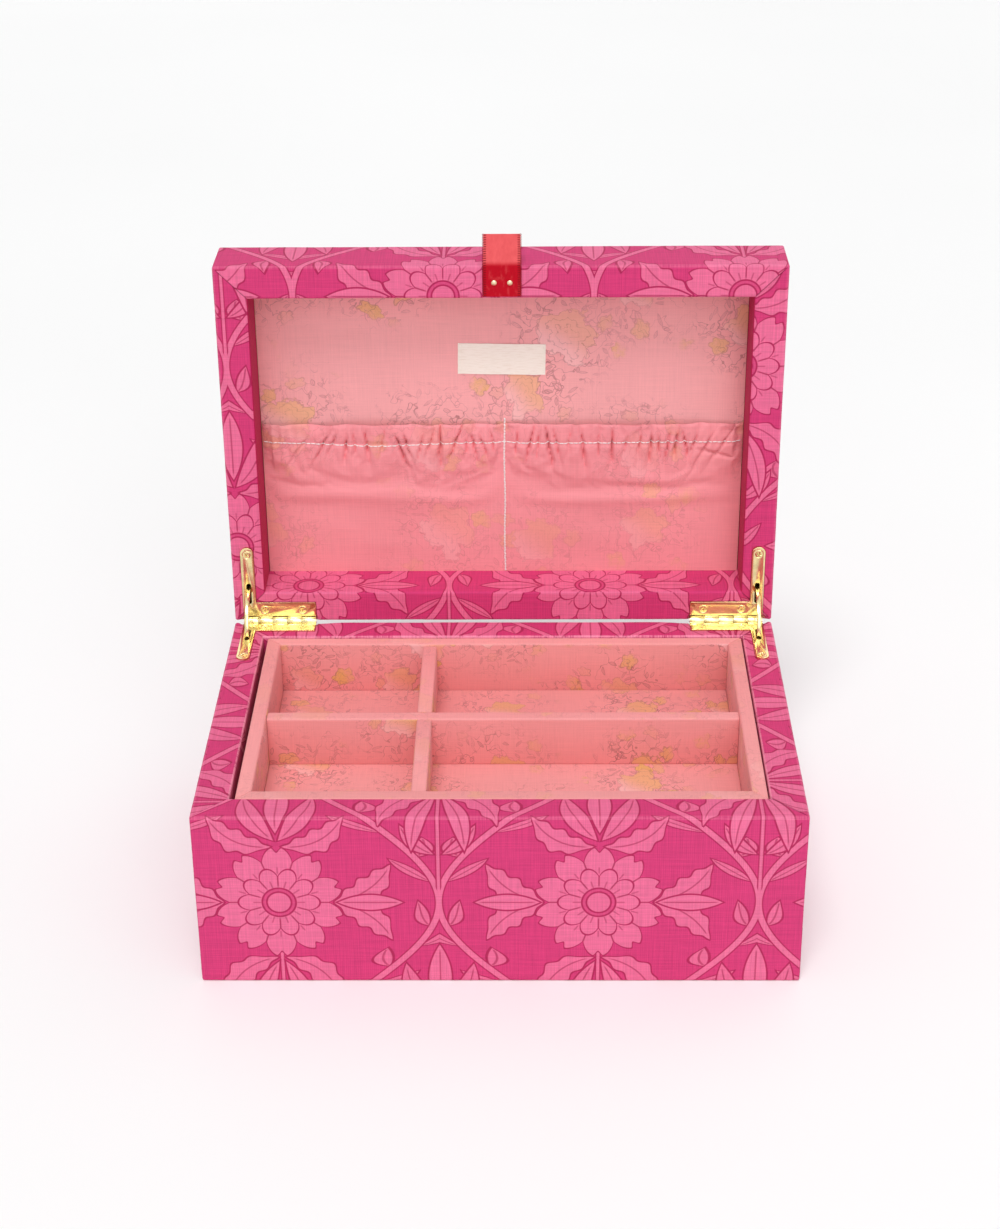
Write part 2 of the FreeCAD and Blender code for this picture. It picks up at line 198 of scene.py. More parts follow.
# Printed cover cloth: an ogee trellis of leafy stems, with a rosette among sprays of leaves in each cell
# Each leaf: foot, turn in degrees, length, half width, bend, lobes along the edge and tone
printSizes = {"width": 126.0, "height": 168.0, "line": 0.7, "soft": 0.16, "offset": (24.0, 46.0),
              "stemLeaf": ((-7.0, 0.4), 30, 16.0, 3.0, 1.6, 0, 0.85),
              "stalkLeaves": (((0.5, -62.0), 46, 21.0, 3.2, -2.6, 0, 0.88),
                              ((0.5, -26.0), -46, 33.0, 5.6, 6.0, 4, 0.92),
                              ((0.5, -27.0), -74, 36.0, 4.4, 2.6, 0, 1.0),
                              ((1.0, 26.0), 30, 30.0, 5.4, -5.4, 4, 0.92),
                              ((0.0, 28.0), 64, 31.0, 5.0, -3.4, 0, 0.88),
                              ((0.0, 31.0), 90, 34.0, 5.2, 0.0, 0, 1.0)),
              "sideLeaf": ((21.0, 0.0), 38, 30.0, 6.0, -4.0, 4, 0.9),
              "levelLeaf": ((22.0, 0.0), 0, 28.0, 4.2, 0.0, 0, 1.0)}


def trellisPrint(u, v):
    width, height, soft = printSizes["width"], printSizes["height"], printSizes["soft"]
    x0, y0 = u.wrap(-width / 2, width / 2), v.wrap(-height / 2, height / 2)
    x1, y1 = u.wrap(0.0, width) - width / 2, v.wrap(0.0, height) - height / 2
    turn = y0 * (tau / height)
    slope = turn.sin() * (width / 4 * tau / height)
    lean = (slope * slope + 1).sqrt()
    away = (x0.abs() - (turn.cos() + 1) * (width / 4)) / lean
    outside = away.above(0.0)
    x, y = blend(x0, x1, outside).abs(), blend(y0, y1, outside)
    state = {"fill": None, "line": None}

    def paint(field, tone, line=printSizes["line"]):
        cover = field.fade(soft, -soft)
        inner = (field + line).fade(soft, -soft)
        edge = cover - inner
        if state["fill"] is None:
            state["fill"], state["line"] = inner * tone, edge
        else:
            left = 1 - cover
            state["fill"] = state["fill"] * left + inner * tone
            state["line"] = state["line"] * left + edge

    def score(field, weight):
        state["line"] = state["line"].max(field.fade(0.3 + soft, 0.3 - soft) * weight)

    def leaf(px, py, at, turned, length, half, bend, lobes, tone):
        c, s = cos(radians(turned)), sin(radians(turned))
        dx, dy = px - at[0], py - at[1]
        t = (dx * c + dy * s) / length
        hump = t * (1 - t) * 4
        q = (dy * c - dx * s - hump * bend).abs()
        edge = hump * half
        if lobes:
            edge = edge * ((t * (tau * lobes)).cos() * 0.16 + 1)
        paint(q - edge, tone)
        score(q, hump.fade(0.3, 0.55) * 0.8)

    def petals(count, shift, radius, notch, tone, inner):
        k = (theta * (count / tau) + shift).wrap(-0.5, 0.5).abs()
        limb = (1 - k * k - k.fade(0.14, 0.0) * notch) * radius
        paint(r - limb, tone)
        arc = r * (tau / count)
        score((0.5 - k) * arc, r.fade(inner, inner + 2) * (limb - r).fade(0.0, 0.3))
        score(k * arc, r.fade(radius * 0.64, radius * 0.6) * r.fade(inner, inner + 1) * 0.6)

    pitch = height / 8
    run = (y0 + blend(-pitch / 4, pitch / 4, outside)).wrap(-pitch / 2, pitch / 2) * lean
    # Trellis stem with its small leaves, then the stalk and leaves of each cell
    leaf(run, away.abs(), *printSizes["stemLeaf"])
    paint(away.abs() - 1.7, 1.0, 0.5)
    paint((x - 1.1).max(y + 20), 0.95, 0.45)
    for row in printSizes["stalkLeaves"]:
        leaf(x, y, *row)
    leaf(x, y.abs(), *printSizes["sideLeaf"])
    leaf(x, y, *printSizes["levelLeaf"])
    # Rosette: two rings of petals round an eye
    r = (x * x + y * y).sqrt()
    theta = x.atan2(y)
    petals(10, 0.0, 26.5, 0.1, 0.95, 13.0)
    petals(10, 0.5, 16.5, 0.0, 1.0, 6.5)
    paint(r - 7.0, 0.2)
    paint(r - 5.2, 0.9)
    return state["fill"], state["line"]


def coverCloth(name, isLid):
    look = {"ground": tint(204, 55, 113), "motif": tint(225, 106, 146), "line": tint(164, 28, 76),
            "deep": tint(182, 10, 80), "paleLit": tint(240, 158, 180), "edgePale": 0.16, "lipHighlight": 0.65,
            "slub": 0.34, "thread": 0.8, "weave": 0.75, "rough": 0.78, "bump": 0.35, "sideShift": 31.0}
    net = Net(name)
    x, y, z = net.place()
    top, wall = case["baseTop"], case["wall"]
    if isLid:
        # Back to the shut position, measured down from the lid's outside
        y, z = case["axisY"] + case["axisZ"] - z, case["lidTop"] - case["axisZ"] + case["axisY"] - y
        top = case["lidTop"] - case["lidRim"]
    dx, dy = case["halfX"] - x.abs(), case["halfY"] - y.abs()
    side = dy.above(dx)
    inset = dx.min(dy)
    within = inset.above(wall - 0.3) * z.above(1.0)
    rise = blend(z + inset, 2 * top + wall - z, within)
    flat = z.fade(1.2, 0.6)
    if isLid:
        u = blend(blend(x, x.sign() * (rise + case["halfX"]), side), x, flat)
        v = blend(blend(y.sign() * (rise + case["halfY"]), y, side), y, flat)
        v = v * -1.0
    else:
        u = blend(x, y * x.sign() + look["sideShift"], side)
        v = blend(rise, z - inset, flat)
    fill, line = trellisPrint(u + printSizes["offset"][0], v + printSizes["offset"][1])
    if isLid:
        # The side walls inside the lid carry no print and a painted shade: a deeper colour stands in for the
        # shade inside the lid
        plain = within * side
        fill, line = fill * (1 - plain), line * (1 - plain)
    thread = net.weave(u, v, 0.05, 1.6)
    colour = net.mix(fill, look["ground"], look["motif"])
    colour = net.mix(line * 0.85, colour, look["line"])
    # Painted shade: the lid's inner side walls take the deeper colour
    if isLid:
        colour = net.mix(plain, colour, look["deep"])
    # Paler along the rounded top edge, and a painted highlight along the base rim's inner lip
    paleEdgeAndLipHighlight = inset.fade(1.3, 0.4) * z.above(top - 1.3) * look["edgePale"]
    if not isLid:
        lip = inset.fade(wall - 0.8, wall - 0.5) * inset.fade(wall + 0.4, wall) * z.above(top - 1.0)
        paleEdgeAndLipHighlight = paleEdgeAndLipHighlight.max(lip * look["lipHighlight"])
    colour = net.mix(paleEdgeAndLipHighlight * thread.fade(0.6, 1.1), colour, look["paleLit"])
    # Painted shade: the colour is darkened along the mitre crease across each rim corner
    mitreShade = (dx - dy).abs().fade(0.55, 0.1) * inset.fade(0.6, 2.0) * inset.fade(wall + 0.2, wall - 0.8)
    slub = ((thread - 1) * look["slub"] + 1) * (1 - mitreShade * z.above(top - 0.9) * 0.35)
    colour = net.shade(colour, slub)
    pitch = tau / look["thread"]
    grain = ((u * pitch).sin() + (v * pitch).sin()) * 0.25 + thread * look["weave"]
    rough = look["rough"] - fill * 0.1
    if isLid:
        rough = rough + plain * 0.2
    return net.done(colour, rough, (grain + fill * 0.3, look["bump"], 0.0002), spec=0.25, sheen=0.04)


def liningSilk(name, plane, ground, strength, size):
    # Pink silk with faint bouquets: ruffled yellow flowers among small leaves and thin stems
    look = {"yellow": tint(228, 180, 104), "pale": tint(250, 204, 208), "ink": tint(146, 92, 92)}
    sprig = {"apart": 44.0, "flower": 11.0, "reach": (27.0, 13.0), "budApart": 13.0, "bud": 4.2,
             "leafApart": 4.0, "leafLong": 1.9, "leafHalf": 0.55, "share": 0.4}
    net = Net(name)
    x, y, z = net.place()
    if plane == "lid":
        u, v = x, z
    else:
        nx, _, nz = net.normal()
        level = nz.abs().above(0.6)
        strength = (1 - level * z.above(case["ledge"] + 3) * 0.7) * strength
        across = nx.abs().above(0.6)
        u = blend(x, y + 57.0, across)
        v = blend(z + blend(y * 2.3, x * 1.7, across), y, level)
    u, v = u / size, v / size
    spot = net.vector(u, v)
    wander = net.noise(spot, 0.05, 1.0, 0.5, "2D").of("Color")
    bent = net.node("ShaderNodeVectorMath", {"operation": "MULTIPLY_ADD"},
                    {0: wander, 1: (9.0, 9.0, 0.0), 2: spot})

    def scatter(scale, spread):
        cell = net.cells(bent, scale, spread)
        away = net.node("ShaderNodeVectorMath", {"operation": "SUBTRACT"}, {0: bent, 1: cell.of("Position")})
        ax, ay, _ = away.parts()
        pick, turn, other = cell.of("Color").parts()
        return ax, ay, (ax * ax + ay * ay).sqrt(), pick, turn * tau, other

    ruffle = net.noise(spot, 0.3, 2.0, 0.6, "2D") - 0.5

    def flower(ax, ay, r, pick, turn, size):
        angle = ay.atan2(ax) + turn
        limb = ((angle * 2.5).cos().abs() * 0.3 + 0.7 + ruffle * 0.7) * (pick * 0.45 + 0.6) * size
        inside = (r - limb).fade(0.7, -0.7)
        frill = ((r / limb + ruffle * 0.9 + (angle * 3.5).sin() * 0.07) * 3.0).wrap(-0.5, 0.5).abs()
        drawn = frill.fade(0.09, 0.02) * inside * 0.8
        return inside, drawn.max((r - limb).abs().fade(0.34, 0.1)), (ax * 0.6 + ay * 0.8) / size

    ax, ay, r, pick, turn, other = scatter(1 / sprig["apart"], 0.7)
    inside, drawn, lit = flower(ax, ay, r, pick, turn, sprig["flower"])
    near = (r + ruffle * 16).fade(*sprig["reach"])
    bx, by, r2, pick2, turn2, other2 = scatter(1 / sprig["budApart"], 0.9)
    bud, budDrawn, _ = flower(bx, by, r2, pick2, turn2, sprig["bud"])
    budThere = near * other2.above(sprig["share"]) * (1 - inside)
    cx, cy, _, pick3, turn3, other3 = scatter(1 / sprig["leafApart"], 1.0)
    lx = (cx * turn3.cos() + cy * turn3.sin()) / sprig["leafLong"]
    ly = (cy * turn3.cos() - cx * turn3.sin()).abs()
    blade = ly - (1 - lx * lx) * sprig["leafHalf"]
    leafThere = near * pick3.above(sprig["share"]) * (1 - inside) * (1 - bud * budThere)
    leaf = blade.fade(0.12, -0.12) * leafThere
    midrib = ly.fade(0.14, 0.04) * blade.fade(0.0, -0.2) * 0.6
    leafDrawn = (blade.abs().fade(0.18, 0.05) + midrib) * leafThere
    spray = net.noise(spot, 0.06, 3.0, 0.55, "2D") - 0.5
    twig = net.noise(spot, 0.11, 2.0, 0.5, "2D") - 0.48
    stem = spray.abs().fade(0.008, 0.002).max(twig.abs().fade(0.011, 0.003) * 0.8) * near * (1 - inside)
    patch = net.noise(spot, 0.035, 2.0, 0.5, "2D").fade(0.3, 0.62)
    golden = inside * (lit.fade(-0.6, 0.4) * 0.4 + 0.12) * (other * 0.8 + 0.2)
    colour = net.mix(golden * strength, ground, look["yellow"])
    colour = net.mix(inside * lit.fade(0.2, -0.7) * 0.35 * strength, colour, look["pale"])
    colour = net.mix(bud * budThere * pick2 * 0.7 * strength, colour, look["yellow"])
    colour = net.mix(leaf * other3 * 0.14 * strength, colour, look["ink"])
    ink = (drawn * 0.7).max(budDrawn * budThere * 0.7).max(leafDrawn * 0.75).max(stem)
    colour = net.mix(ink * (patch * 0.5 + 0.5) * 0.55 * strength, colour, look["ink"])
    thread = net.weave(u, v, 0.06, 2.0)
    cloud = net.noise(spot, 0.018, 2.0, 0.5, "2D") - 0.5
    colour = net.shade(colour, (thread - 1) * 0.13 + cloud * 0.12 + 1)
    return net.done(colour, 0.66 - inside * 0.05, (thread, 0.25, 0.0002), spec=0.3, sheen=0.15,
                    sheenRough=0.4)


def goldPlate(name, colour, dull):
    net = Net(name)
    x, y, z = net.place()
    spot = net.vector(x, y, z)
    smear = net.noise(spot, 0.35, 3.0)
    brush = net.noise(net.vector(x * 6.0, y * 0.4, z * 0.4), 1.0, 2.0)
    shade = net.mix(smear.fade(0.35, 0.7), colour, tuple(c * 0.82 for c in colour[:3]) + (1.0,))
    return net.done(shade, smear * 0.12 + dull, (brush + smear, 0.12, 0.0001), metal=1.0)


def satinRibbon():
    # The coral is a lit copy of the red, painted where the satin catches the light
    look = {"red": tint(182, 2, 29), "coral": tint(224, 90, 93), "edge": tint(118, 0, 16), "rib": 0.42,
            "litFrom": (13.0, 15.5), "litTo": (44.0, 41.0), "middle": 7.75, "loop": 1.02}
    net = Net("satinRibbon")
    uv = net.node("ShaderNodeUVMap", {"uv_map": "along"}, {})
    across, along, _ = uv.parts()
    ribs = (along * tau / look["rib"]).sin()
    wear = net.noise(net.vector(across * 0.5, along * 0.2), 1.0, 3.0, 0.6, "2D")
    # Painted sheen: the upper loop, tilted up towards the lamps, takes the paler coral from 13 to 44 mm along
    # the ribbon
    paleLit = along.fade(*look["litFrom"]) * along.fade(*look["litTo"])
    colour = net.mix(paleLit * (wear * 0.5 + 0.6), look["red"], look["coral"])
    colour = net.mix(wear.fade(0.5, 0.75) * 0.25, colour, look["coral"])
    selvedge = (across - look["middle"]).abs().fade(6.4, 6.7)
    dots = (along * tau / look["loop"]).sin().fade(0.0, 0.3) * selvedge
    colour = net.mix(dots * 0.95, colour, look["edge"])
    return net.done(colour, wear * 0.2 + 0.45, (ribs * 0.4 + wear, 0.22, 0.00015), spec=0.1, sheen=0.12,
                    sheenRough=0.35)


def wovenTape():
    look = {"ivory": tint(252, 245, 234), "shade": tint(232, 218, 200)}
    net = Net("wovenTape")
    x, _, z = net.place()
    cross = (x * tau / 0.7).sin() * (z * tau / 0.7).sin()
    slub = net.noise(net.vector(x * 0.2, z * 2.4), 1.0, 2.0, 0.6, "2D")
    colour = net.mix(slub.fade(0.45, 0.8) * 0.45, look["ivory"], look["shade"])
    return net.done(colour, 0.85, (cross + slub, 0.4, 0.0002), sheen=0.1)


def sewingThread():
    net = Net("sewingThread")
    x, _, z = net.place()
    twist = ((x + z) * tau / 0.45).sin()
    colour = net.mix(twist.fade(-0.6, 0.6), tint(240, 226, 226), tint(255, 252, 250))
    return net.done(colour, 0.7, (twist, 0.5, 0.0001))


def caseBoard():
    net = Net("caseBoard")
    x, y, z = net.place()
    spot = net.vector(x, y, z)
    fibre = net.noise(net.vector(x * 0.3, y * 0.3, z * 3.0), 1.0, 4.0, 0.65)
    speck = net.noise(spot, 1.6, 3.0, 0.7)
    colour = net.mix(fibre.fade(0.3, 0.7), tint(172, 132, 92), tint(206, 170, 126))
    colour = net.mix(speck.fade(0.55, 0.75) * 0.4, colour, tint(132, 94, 62))
    return net.done(colour, speck * 0.15 + 0.75, (fibre + speck, 0.4, 0.0003))


def backingCloth():
    net = Net("backingCloth")
    x, y, z = net.place()
    twill = ((x + y) * tau / 1.1).sin()
    fuzz = net.noise(net.vector(x, y, z), 0.9, 3.0, 0.7)
    colour = net.mix(fuzz.fade(0.3, 0.75), tint(128, 26, 72), tint(158, 44, 96))
    return net.done(colour, 0.9, (twill * 0.5 + fuzz, 0.5, 0.0003), sheen=0.2)


looks = {
    "baseCover": coverCloth("baseCoverCloth", False),
    "lidCover": coverCloth("lidCoverCloth", True),
    "lidSilk": liningSilk("lidSilk", "lid", tint(240, 168, 170), 1.2, 1.15),
    "pocketSilk": liningSilk("pocketSilk", "lid", tint(239, 149, 156), 0.55, 1.15),
    "traySilk": liningSilk("traySilk", "tray", tint(237, 156, 156), 1.3, 1.0),
    "gold": goldPlate("hingeGold", (0.87, 0.73, 0.38, 1.0), 0.12),
    "nail": goldPlate("nailBrass", (0.90, 0.70, 0.46, 1.0), 0.3),
    "ribbon": satinRibbon(),
    "tape": wovenTape(),
    "thread": sewingThread(),
    "board": caseBoard(),
    "backing": backingCloth(),
}
print("materials", len(looks))


def linked(name, data):
    made = bpy.data.objects.new(name, data)
    bpy.context.scene.collection.objects.link(made)
    return made


def meshObject(name, bm):
    mesh = bpy.data.meshes.new(name)
    bm.to_mesh(mesh)
    return linked(name, mesh)


def makePiece(name, bm, look, body, hides=(), sharp=40.0):
    bmesh.ops.recalc_face_normals(bm, faces=bm.faces)
    piece = meshObject(name, bm)
    bm.free()
    for polygon in piece.data.polygons:
        polygon.use_smooth = True
    piece.data.set_sharp_from_angle(angle=radians(sharp))
    piece.data.materials.append(looks[look])
    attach(piece, body)
    if hides:
        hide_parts(*hides)
    return piece


def waver(x, y, z):
    # Smooth and uneven, about nought
    return noise.noise(Vector((x, y, z)))


def vertsOf(geom):
    return [part for part in geom if isinstance(part, bmesh.types.BMVert)]


def loft(bm, rows, closed):
    # One row of edges, extruded from row to row; a closed row is a ring
    line = [bm.verts.new(point) for point in rows[0]]
    pairs = list(zip(line, line[1:] + line[:1]))
    edges = [bm.edges.new(pair) for pair in (pairs if closed else pairs[:-1])]
    made = [line]
    for row in rows[1:]:
        geom = bmesh.ops.extrude_edge_only(bm, edges=edges)["geom"]
        fresh = set(vertsOf(geom))
        edges = [part for part in geom
                 if isinstance(part, bmesh.types.BMEdge) and fresh.issuperset(part.verts)]
        ahead = [next(e.other_vert(v) for e in v.link_edges if e.other_vert(v) in fresh) for v in made[-1]]
        for vert, point in zip(ahead, row):
            vert.co = point
        made.append(ahead)
    return made


def gridSheet(columns, rows):
    # A flat sheet from -1 to 1 both ways, to be shaped point by point
    bm = bmesh.new()
    bmesh.ops.create_grid(bm, x_segments=columns, y_segments=rows, size=1.0)
    return bm


def frontSheet(bm, thick):
    # Turned to face forward, then thickened
    bmesh.ops.recalc_face_normals(bm, faces=bm.faces)
    if sum(f.normal.y for f in bm.faces) > 0:
        bmesh.ops.reverse_faces(bm, faces=bm.faces)
    bmesh.ops.solidify(bm, geom=bm.faces, thickness=thick * mm)


def turned(bm, outline, segments):
    # A profile of radius and height spun about Z
    line = [bm.verts.new((radius, 0, height)) for radius, height in outline]
    edges = [bm.edges.new(pair) for pair in zip(line, line[1:])]
    bmesh.ops.spin(bm, geom=line + edges, cent=(0, 0, 0), axis=(0, 0, 1), angle=tau, steps=segments,
                   use_merge=True)
    bmesh.ops.remove_doubles(bm, verts=bm.verts, dist=1e-5)


def arc(cx, cy, radius, start, end, steps):
    turns = [radians(start + (end - start) * i / steps) for i in range(steps + 1)]
    return [(cx + radius * cos(t), cy + radius * sin(t)) for t in turns]


# Cloth covers
cover = {"round": 0.9, "lip": 1.0, "foot": 1.0, "alongX": 60, "alongY": 40, "slack": 0.09,
         "waves": ((0.045, 1.0), (0.13, 0.5)),
         "corner": (0.14, 0.28, 0.4, 0.5, 0.6, 0.72, 0.86), "recess": 0.75, "barrel": 2.3, "dip": 0.65,
         "dipLong": 13.0, "dipFrom": 76.0, "dipOver": 5.5, "dipCuts": (13.0, 10.0, 8.0, 6.0, 4.5, 3.0, 1.5),
         "crease": (0.32, 0.0, 0.18), "fold": (0.16, 0.45, 0.3), "lift": 0.02, "underAt": (8.0, 3.0),
         "rimAt": (1.5, 3.0, 5.0, 7.0, 9.0, 11.0, 12.4), "insideAt": (3.0, 8.0, 14.0, 20.0),
         "topAt": (4.0, 12.0, 24.0, 40.0, 56.0, 72.0), "rowStart": 4.0, "baseRow": 4.8, "baseRows": 15,
         "lidRow": 3.6, "lidRows": 6, "insideRow": 5.8, "insideRows": 4}
leafLow, leafHigh = boxOf("right_base_leaf")
hinge = {"innerX": round(leafLow.x, 2), "outerX": round(leafHigh.x, 2), "plateY": axis.y - 9.0,
         "armX": 113.0, "armHalf": 2.9, "tipY": axis.y - 36.0, "gap": 0.15, "slotHalf": 1.5,
         "slotNear": axis.y - 8.0, "slotFar": axis.y - 19.0, "seatX": 76.0, "seatY": 42.0, "seatZ": 2.6,
         "slotZ": 1.2, "edge": 0.06, "ends": 0.35}


def bulge(at, high, middle, half):
    return high * exp(-((at - middle) / half) ** 2)


def rimRing(inset, height, isRim, up):
    # One ring round the case, with the folded cloth's crease across each corner of the rim
    a, b = case["halfX"] - inset, case["halfY"] - inset
    reach = cover["round"]
    soft = max(0.0, 1 - inset / reach)
    corners = [Vector((a, -b)), Vector((a, b)), Vector((-a, b)), Vector((-a, -b))]
    points = []
    for i, corner in enumerate(corners):
        before, after = corners[i - 1], corners[(i + 1) % 4]
        into, out = (corner - before).normalized(), (after - corner).normalized()
        count = cover["alongX"] if i % 2 == 0 else cover["alongY"]
        start, end = before + into * reach, corner - into * reach
        for step in range(count + 1):
            spot = start.lerp(end, step / count)
            points.append(Vector((spot.x, spot.y, height)))
        centre = corner - into * reach + out * reach
        for s in cover["corner"]:
            plain = corner - into * reach * (1 - 2 * s) if s < 0.5 else corner + out * reach * (2 * s - 1)
            turn = s * pi / 2
            curve = centre - out * reach * cos(turn) + into * reach * sin(turn)
            spot = plain.lerp(curve, soft)
            crease = 0.0
            if isRim:
                gap = (s - 0.5) * 2
                crease = bulge(gap, *cover["fold"]) - bulge(gap, *cover["crease"])
            points.append(Vector((spot.x, spot.y, height + crease * up)))
    return points


def seatHinges(bm, rim, up):
    # Recess under each leaf, room for the barrel and the stay's hole
    names = ("innerX", "outerX", "plateY", "armX", "armHalf", "tipY", "gap", "slotHalf", "edge", "ends")
    inner, outer, plate, arm, half, tip, gap, slot, edge, ends = (hinge[name] for name in names)
    floor = rim - cover["recess"] * up
    ways = {"x": Vector((1, 0, 0)), "y": Vector((0, 1, 0))}
    for side in (-1, 1):
        cuts = [("x", inner - gap), ("x", outer + gap), ("y", plate - gap), ("x", arm - half - gap),
                ("y", tip - gap)]
        cuts = [(way, at + shift) for way, at in cuts for shift in (-edge, edge)]
        cuts += [("x", arm - slot), ("x", arm + slot), ("y", hinge["slotNear"]), ("y", hinge["slotFar"])]
        cuts += [("x", inner - reach) for reach in cover["dipCuts"]]
        for way, at in cuts:
            faces = []
            for face in bm.faces:
                x, y, z = face.calc_center_median()
                if x * side > hinge["seatX"] and y > hinge["seatY"] and abs(z - rim) < hinge["seatZ"]:
                    faces.append(face)
            verts, edges = {v for f in faces for v in f.verts}, {e for f in faces for e in f.edges}
            spot = ways[way] * at * (side if way == "x" else 1)
            bmesh.ops.bisect_plane(bm, geom=[*verts, *edges, *faces], dist=1e-6, plane_co=spot,
                                   plane_no=ways[way])
        hole = []
        for face in bm.faces:
            x, y, z = face.calc_center_median()
            inSlot = abs(x * side - arm) < slot and hinge["slotFar"] < y < hinge["slotNear"]
            if inSlot and abs(z - rim) < hinge["slotZ"]:
                hole.append(face)
        bmesh.ops.delete(bm, geom=hole, context="FACES")
        for vert in bm.verts:
            x, y = vert.co.x * side, vert.co.y
            if abs(vert.co.z - rim) > hinge["seatZ"] or y < tip - gap:
                continue
            near = min(1.0, max(0.0, (x - inner + cover["dipLong"]) / cover["dipLong"]))
            if up > 0 and y > cover["dipFrom"] and x < inner + 1:
                back = min(1.0, (y - cover["dipFrom"]) / cover["dipOver"])
                vert.co.z -= cover["dip"] * near * near * (3 - 2 * near) * back ** 2
            inPlate = inner - gap < x < outer + gap and y > plate - gap
            inArm = abs(x - arm) < half + gap
            if inArm and y < tip + half:
                inArm = Vector((x - arm, y - tip - half)).length < half + gap
            if (inPlate or inArm) and (vert.co.z - floor) * up > 0:
                vert.co.z = floor
            out = Vector((y - axis.y, vert.co.z - axis.z))
            if inner - ends < x < outer + ends and out.length < cover["barrel"]:
                out = out.normalized() * cover["barrel"]
                vert.co.y, vert.co.z = axis.y + out.x, axis.z + out.y


def coverPiece(name, profile, rim, up, look, body, node, turn, closeEnd):
    bm = bmesh.new()
    rows = []
    for inset, height in profile:
        isRim = cover["round"] <= inset <= case["wall"] - cover["lip"] and abs(height - rim) < 0.2
        rows.append(rimRing(inset, height, isRim, up))
    rings = loft(bm, rows, True)
    if closeEnd:
        bmesh.ops.contextual_create(bm, geom=rings[-1])
    bmesh.ops.recalc_face_normals(bm, faces=bm.faces)
    bm.normal_update()
    for vert in bm.verts:
        ease = sum(share * noise.noise(vert.co * fine) for fine, share in cover["waves"])
        vert.co += vert.normal * ease * cover["slack"]
        vert.co.z = max(vert.co.z, 0.0)
    seatHinges(bm, rim, up)
    bmesh.ops.transform(bm, matrix=Matrix.Scale(mm, 4) @ turn, verts=bm.verts)
    return makePiece(name, bm, look, body, (node,), 38.0)


# Profiles of inset and height, from one turned-in edge of the cloth to the other
wallAt, roundAt, lipAt, footAt = case["wall"], cover["round"], cover["lip"], cover["foot"]
top = case["baseTop"]
baseProfile = [(inset, cover["lift"]) for inset in (wallAt, *cover["underAt"])]
baseProfile += arc(footAt, footAt + cover["lift"], footAt, 270, 180, 4)
baseProfile += [(0.0, cover["rowStart"] + cover["baseRow"] * i) for i in range(cover["baseRows"])]
baseProfile += arc(roundAt, top - roundAt, roundAt, 180, 90, 5)
baseProfile += [(inset, top) for inset in cover["rimAt"]]
baseProfile += arc(wallAt - lipAt, top - lipAt, lipAt, 90, 0, 4)
baseProfile += [(wallAt, top - depth) for depth in (*cover["insideAt"], top - case["ledge"])]
coverPiece("baseCloth", baseProfile, top, 1, "baseCover", "base", "base_cover", Matrix.Identity(4), False)

rimZ, far = case["lidRim"], case["lidTop"]
lidProfile = [(wallAt, case["ceiling"] - cover["insideRow"] * i) for i in range(cover["insideRows"])]
lidProfile += arc(wallAt - lipAt, rimZ + lipAt, lipAt, 0, -90, 4)
lidProfile += [(inset, rimZ) for inset in cover["rimAt"][::-1]]
lidProfile += arc(roundAt, rimZ + roundAt, roundAt, 270, 180, 5)
lidProfile += [(0.0, rimZ + cover["rowStart"] + cover["lidRow"] * i) for i in range(cover["lidRows"])]
lidProfile += arc(roundAt, far - roundAt, roundAt, 180, 90, 5)
lidProfile += [(inset, far) for inset in cover["topAt"]]
coverPiece("lidCloth", lidProfile, rimZ, -1, "lidCover", "lid", "lid_cover", opened, True)
print("covers done")

# Lid lining: a card panel under silk that is not quite flat
lining = {"columns": 70, "rows": 46, "wave": 0.14, "lift": 0.7, "edge": 0.2, "border": 30,
          "waves": ((3.0, 32, 1.0), (9.0, 90, 0.4))}
low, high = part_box("lid_lining")
bm = gridSheet(lining["columns"], lining["rows"])
for vert in bm.verts:
    across, up = (vert.co.x + 1) / 2, (vert.co.y + 1) / 2
    x, z = low.x + (high.x - low.x) * across, low.z + (high.z - low.z) * up
    wave = sum(share * noise.noise(Vector((x, z, layer)) * fine) for layer, fine, share in lining["waves"])
    ease = min(1.0, lining["border"] * min(across, up, 1 - across, 1 - up))
    depth = lining["wave"] * (wave + lining["lift"]) * ease - lining["edge"] * (1 - ease) ** 2
    vert.co = (x, low.y - depth * mm, z)
border = bmesh.ops.extrude_edge_only(bm, edges=[e for e in bm.edges if e.is_boundary])["geom"]
for vert in vertsOf(border):
    vert.co.y = high.y
bmesh.ops.holes_fill(bm, edges=[e for e in bm.edges if e.is_boundary], sides=0)
liningPanel = makePiece("liningPanel", bm, "lidSilk", "lid", ("lid_lining",), 60.0)
print("lining done")

# Gathered pocket: drawn with its creases, then settled as cloth against the lining
low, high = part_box("lid_pocket")
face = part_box("lid_lining")[0].y / mm
pocket = {"columns": 320, "fine": 46, "coarse": 26, "gathered": 63.4, "seam": 1.0, "fineFrom": 22.0,
          "frill": 9.0, "slack": 0.7, "swell": 1.3, "puff": 2.15, "thick": 0.35, "cut": (226.5, 72.5),
          "risen": 36, "puffLong": 15, "sway": 0.3, "wander": 0.5, "creaseTall": (3.5, 10.0),
          "creaseHalf": (0.45, 0.045), "ruck": 0.35, "sewn": (0.5, 0.0, 0.9), "roll": (0.5, 0.9),
          "least": 0.5}
left, right, foot, hem = low.x / mm, high.x / mm, low.z / mm, high.z / mm
seam, elastic = pocket["seam"], foot + pocket["gathered"]
settle = {"spare": 0.05, "eased": 9.0, "frames": 14, "scale": 10.0, "farthest": 1.6, "front": 4.6,
          "back": 0.45, "near": 0.4, "gap": 0.002, "block": (230, 8, 160),
          "rules": {"quality": 5, "mass": 0.15, "tension_stiffness": 15, "compression_stiffness": 15,
                    "shear_stiffness": 5, "bending_stiffness": 0.02, "pin_stiffness": 1.0}}
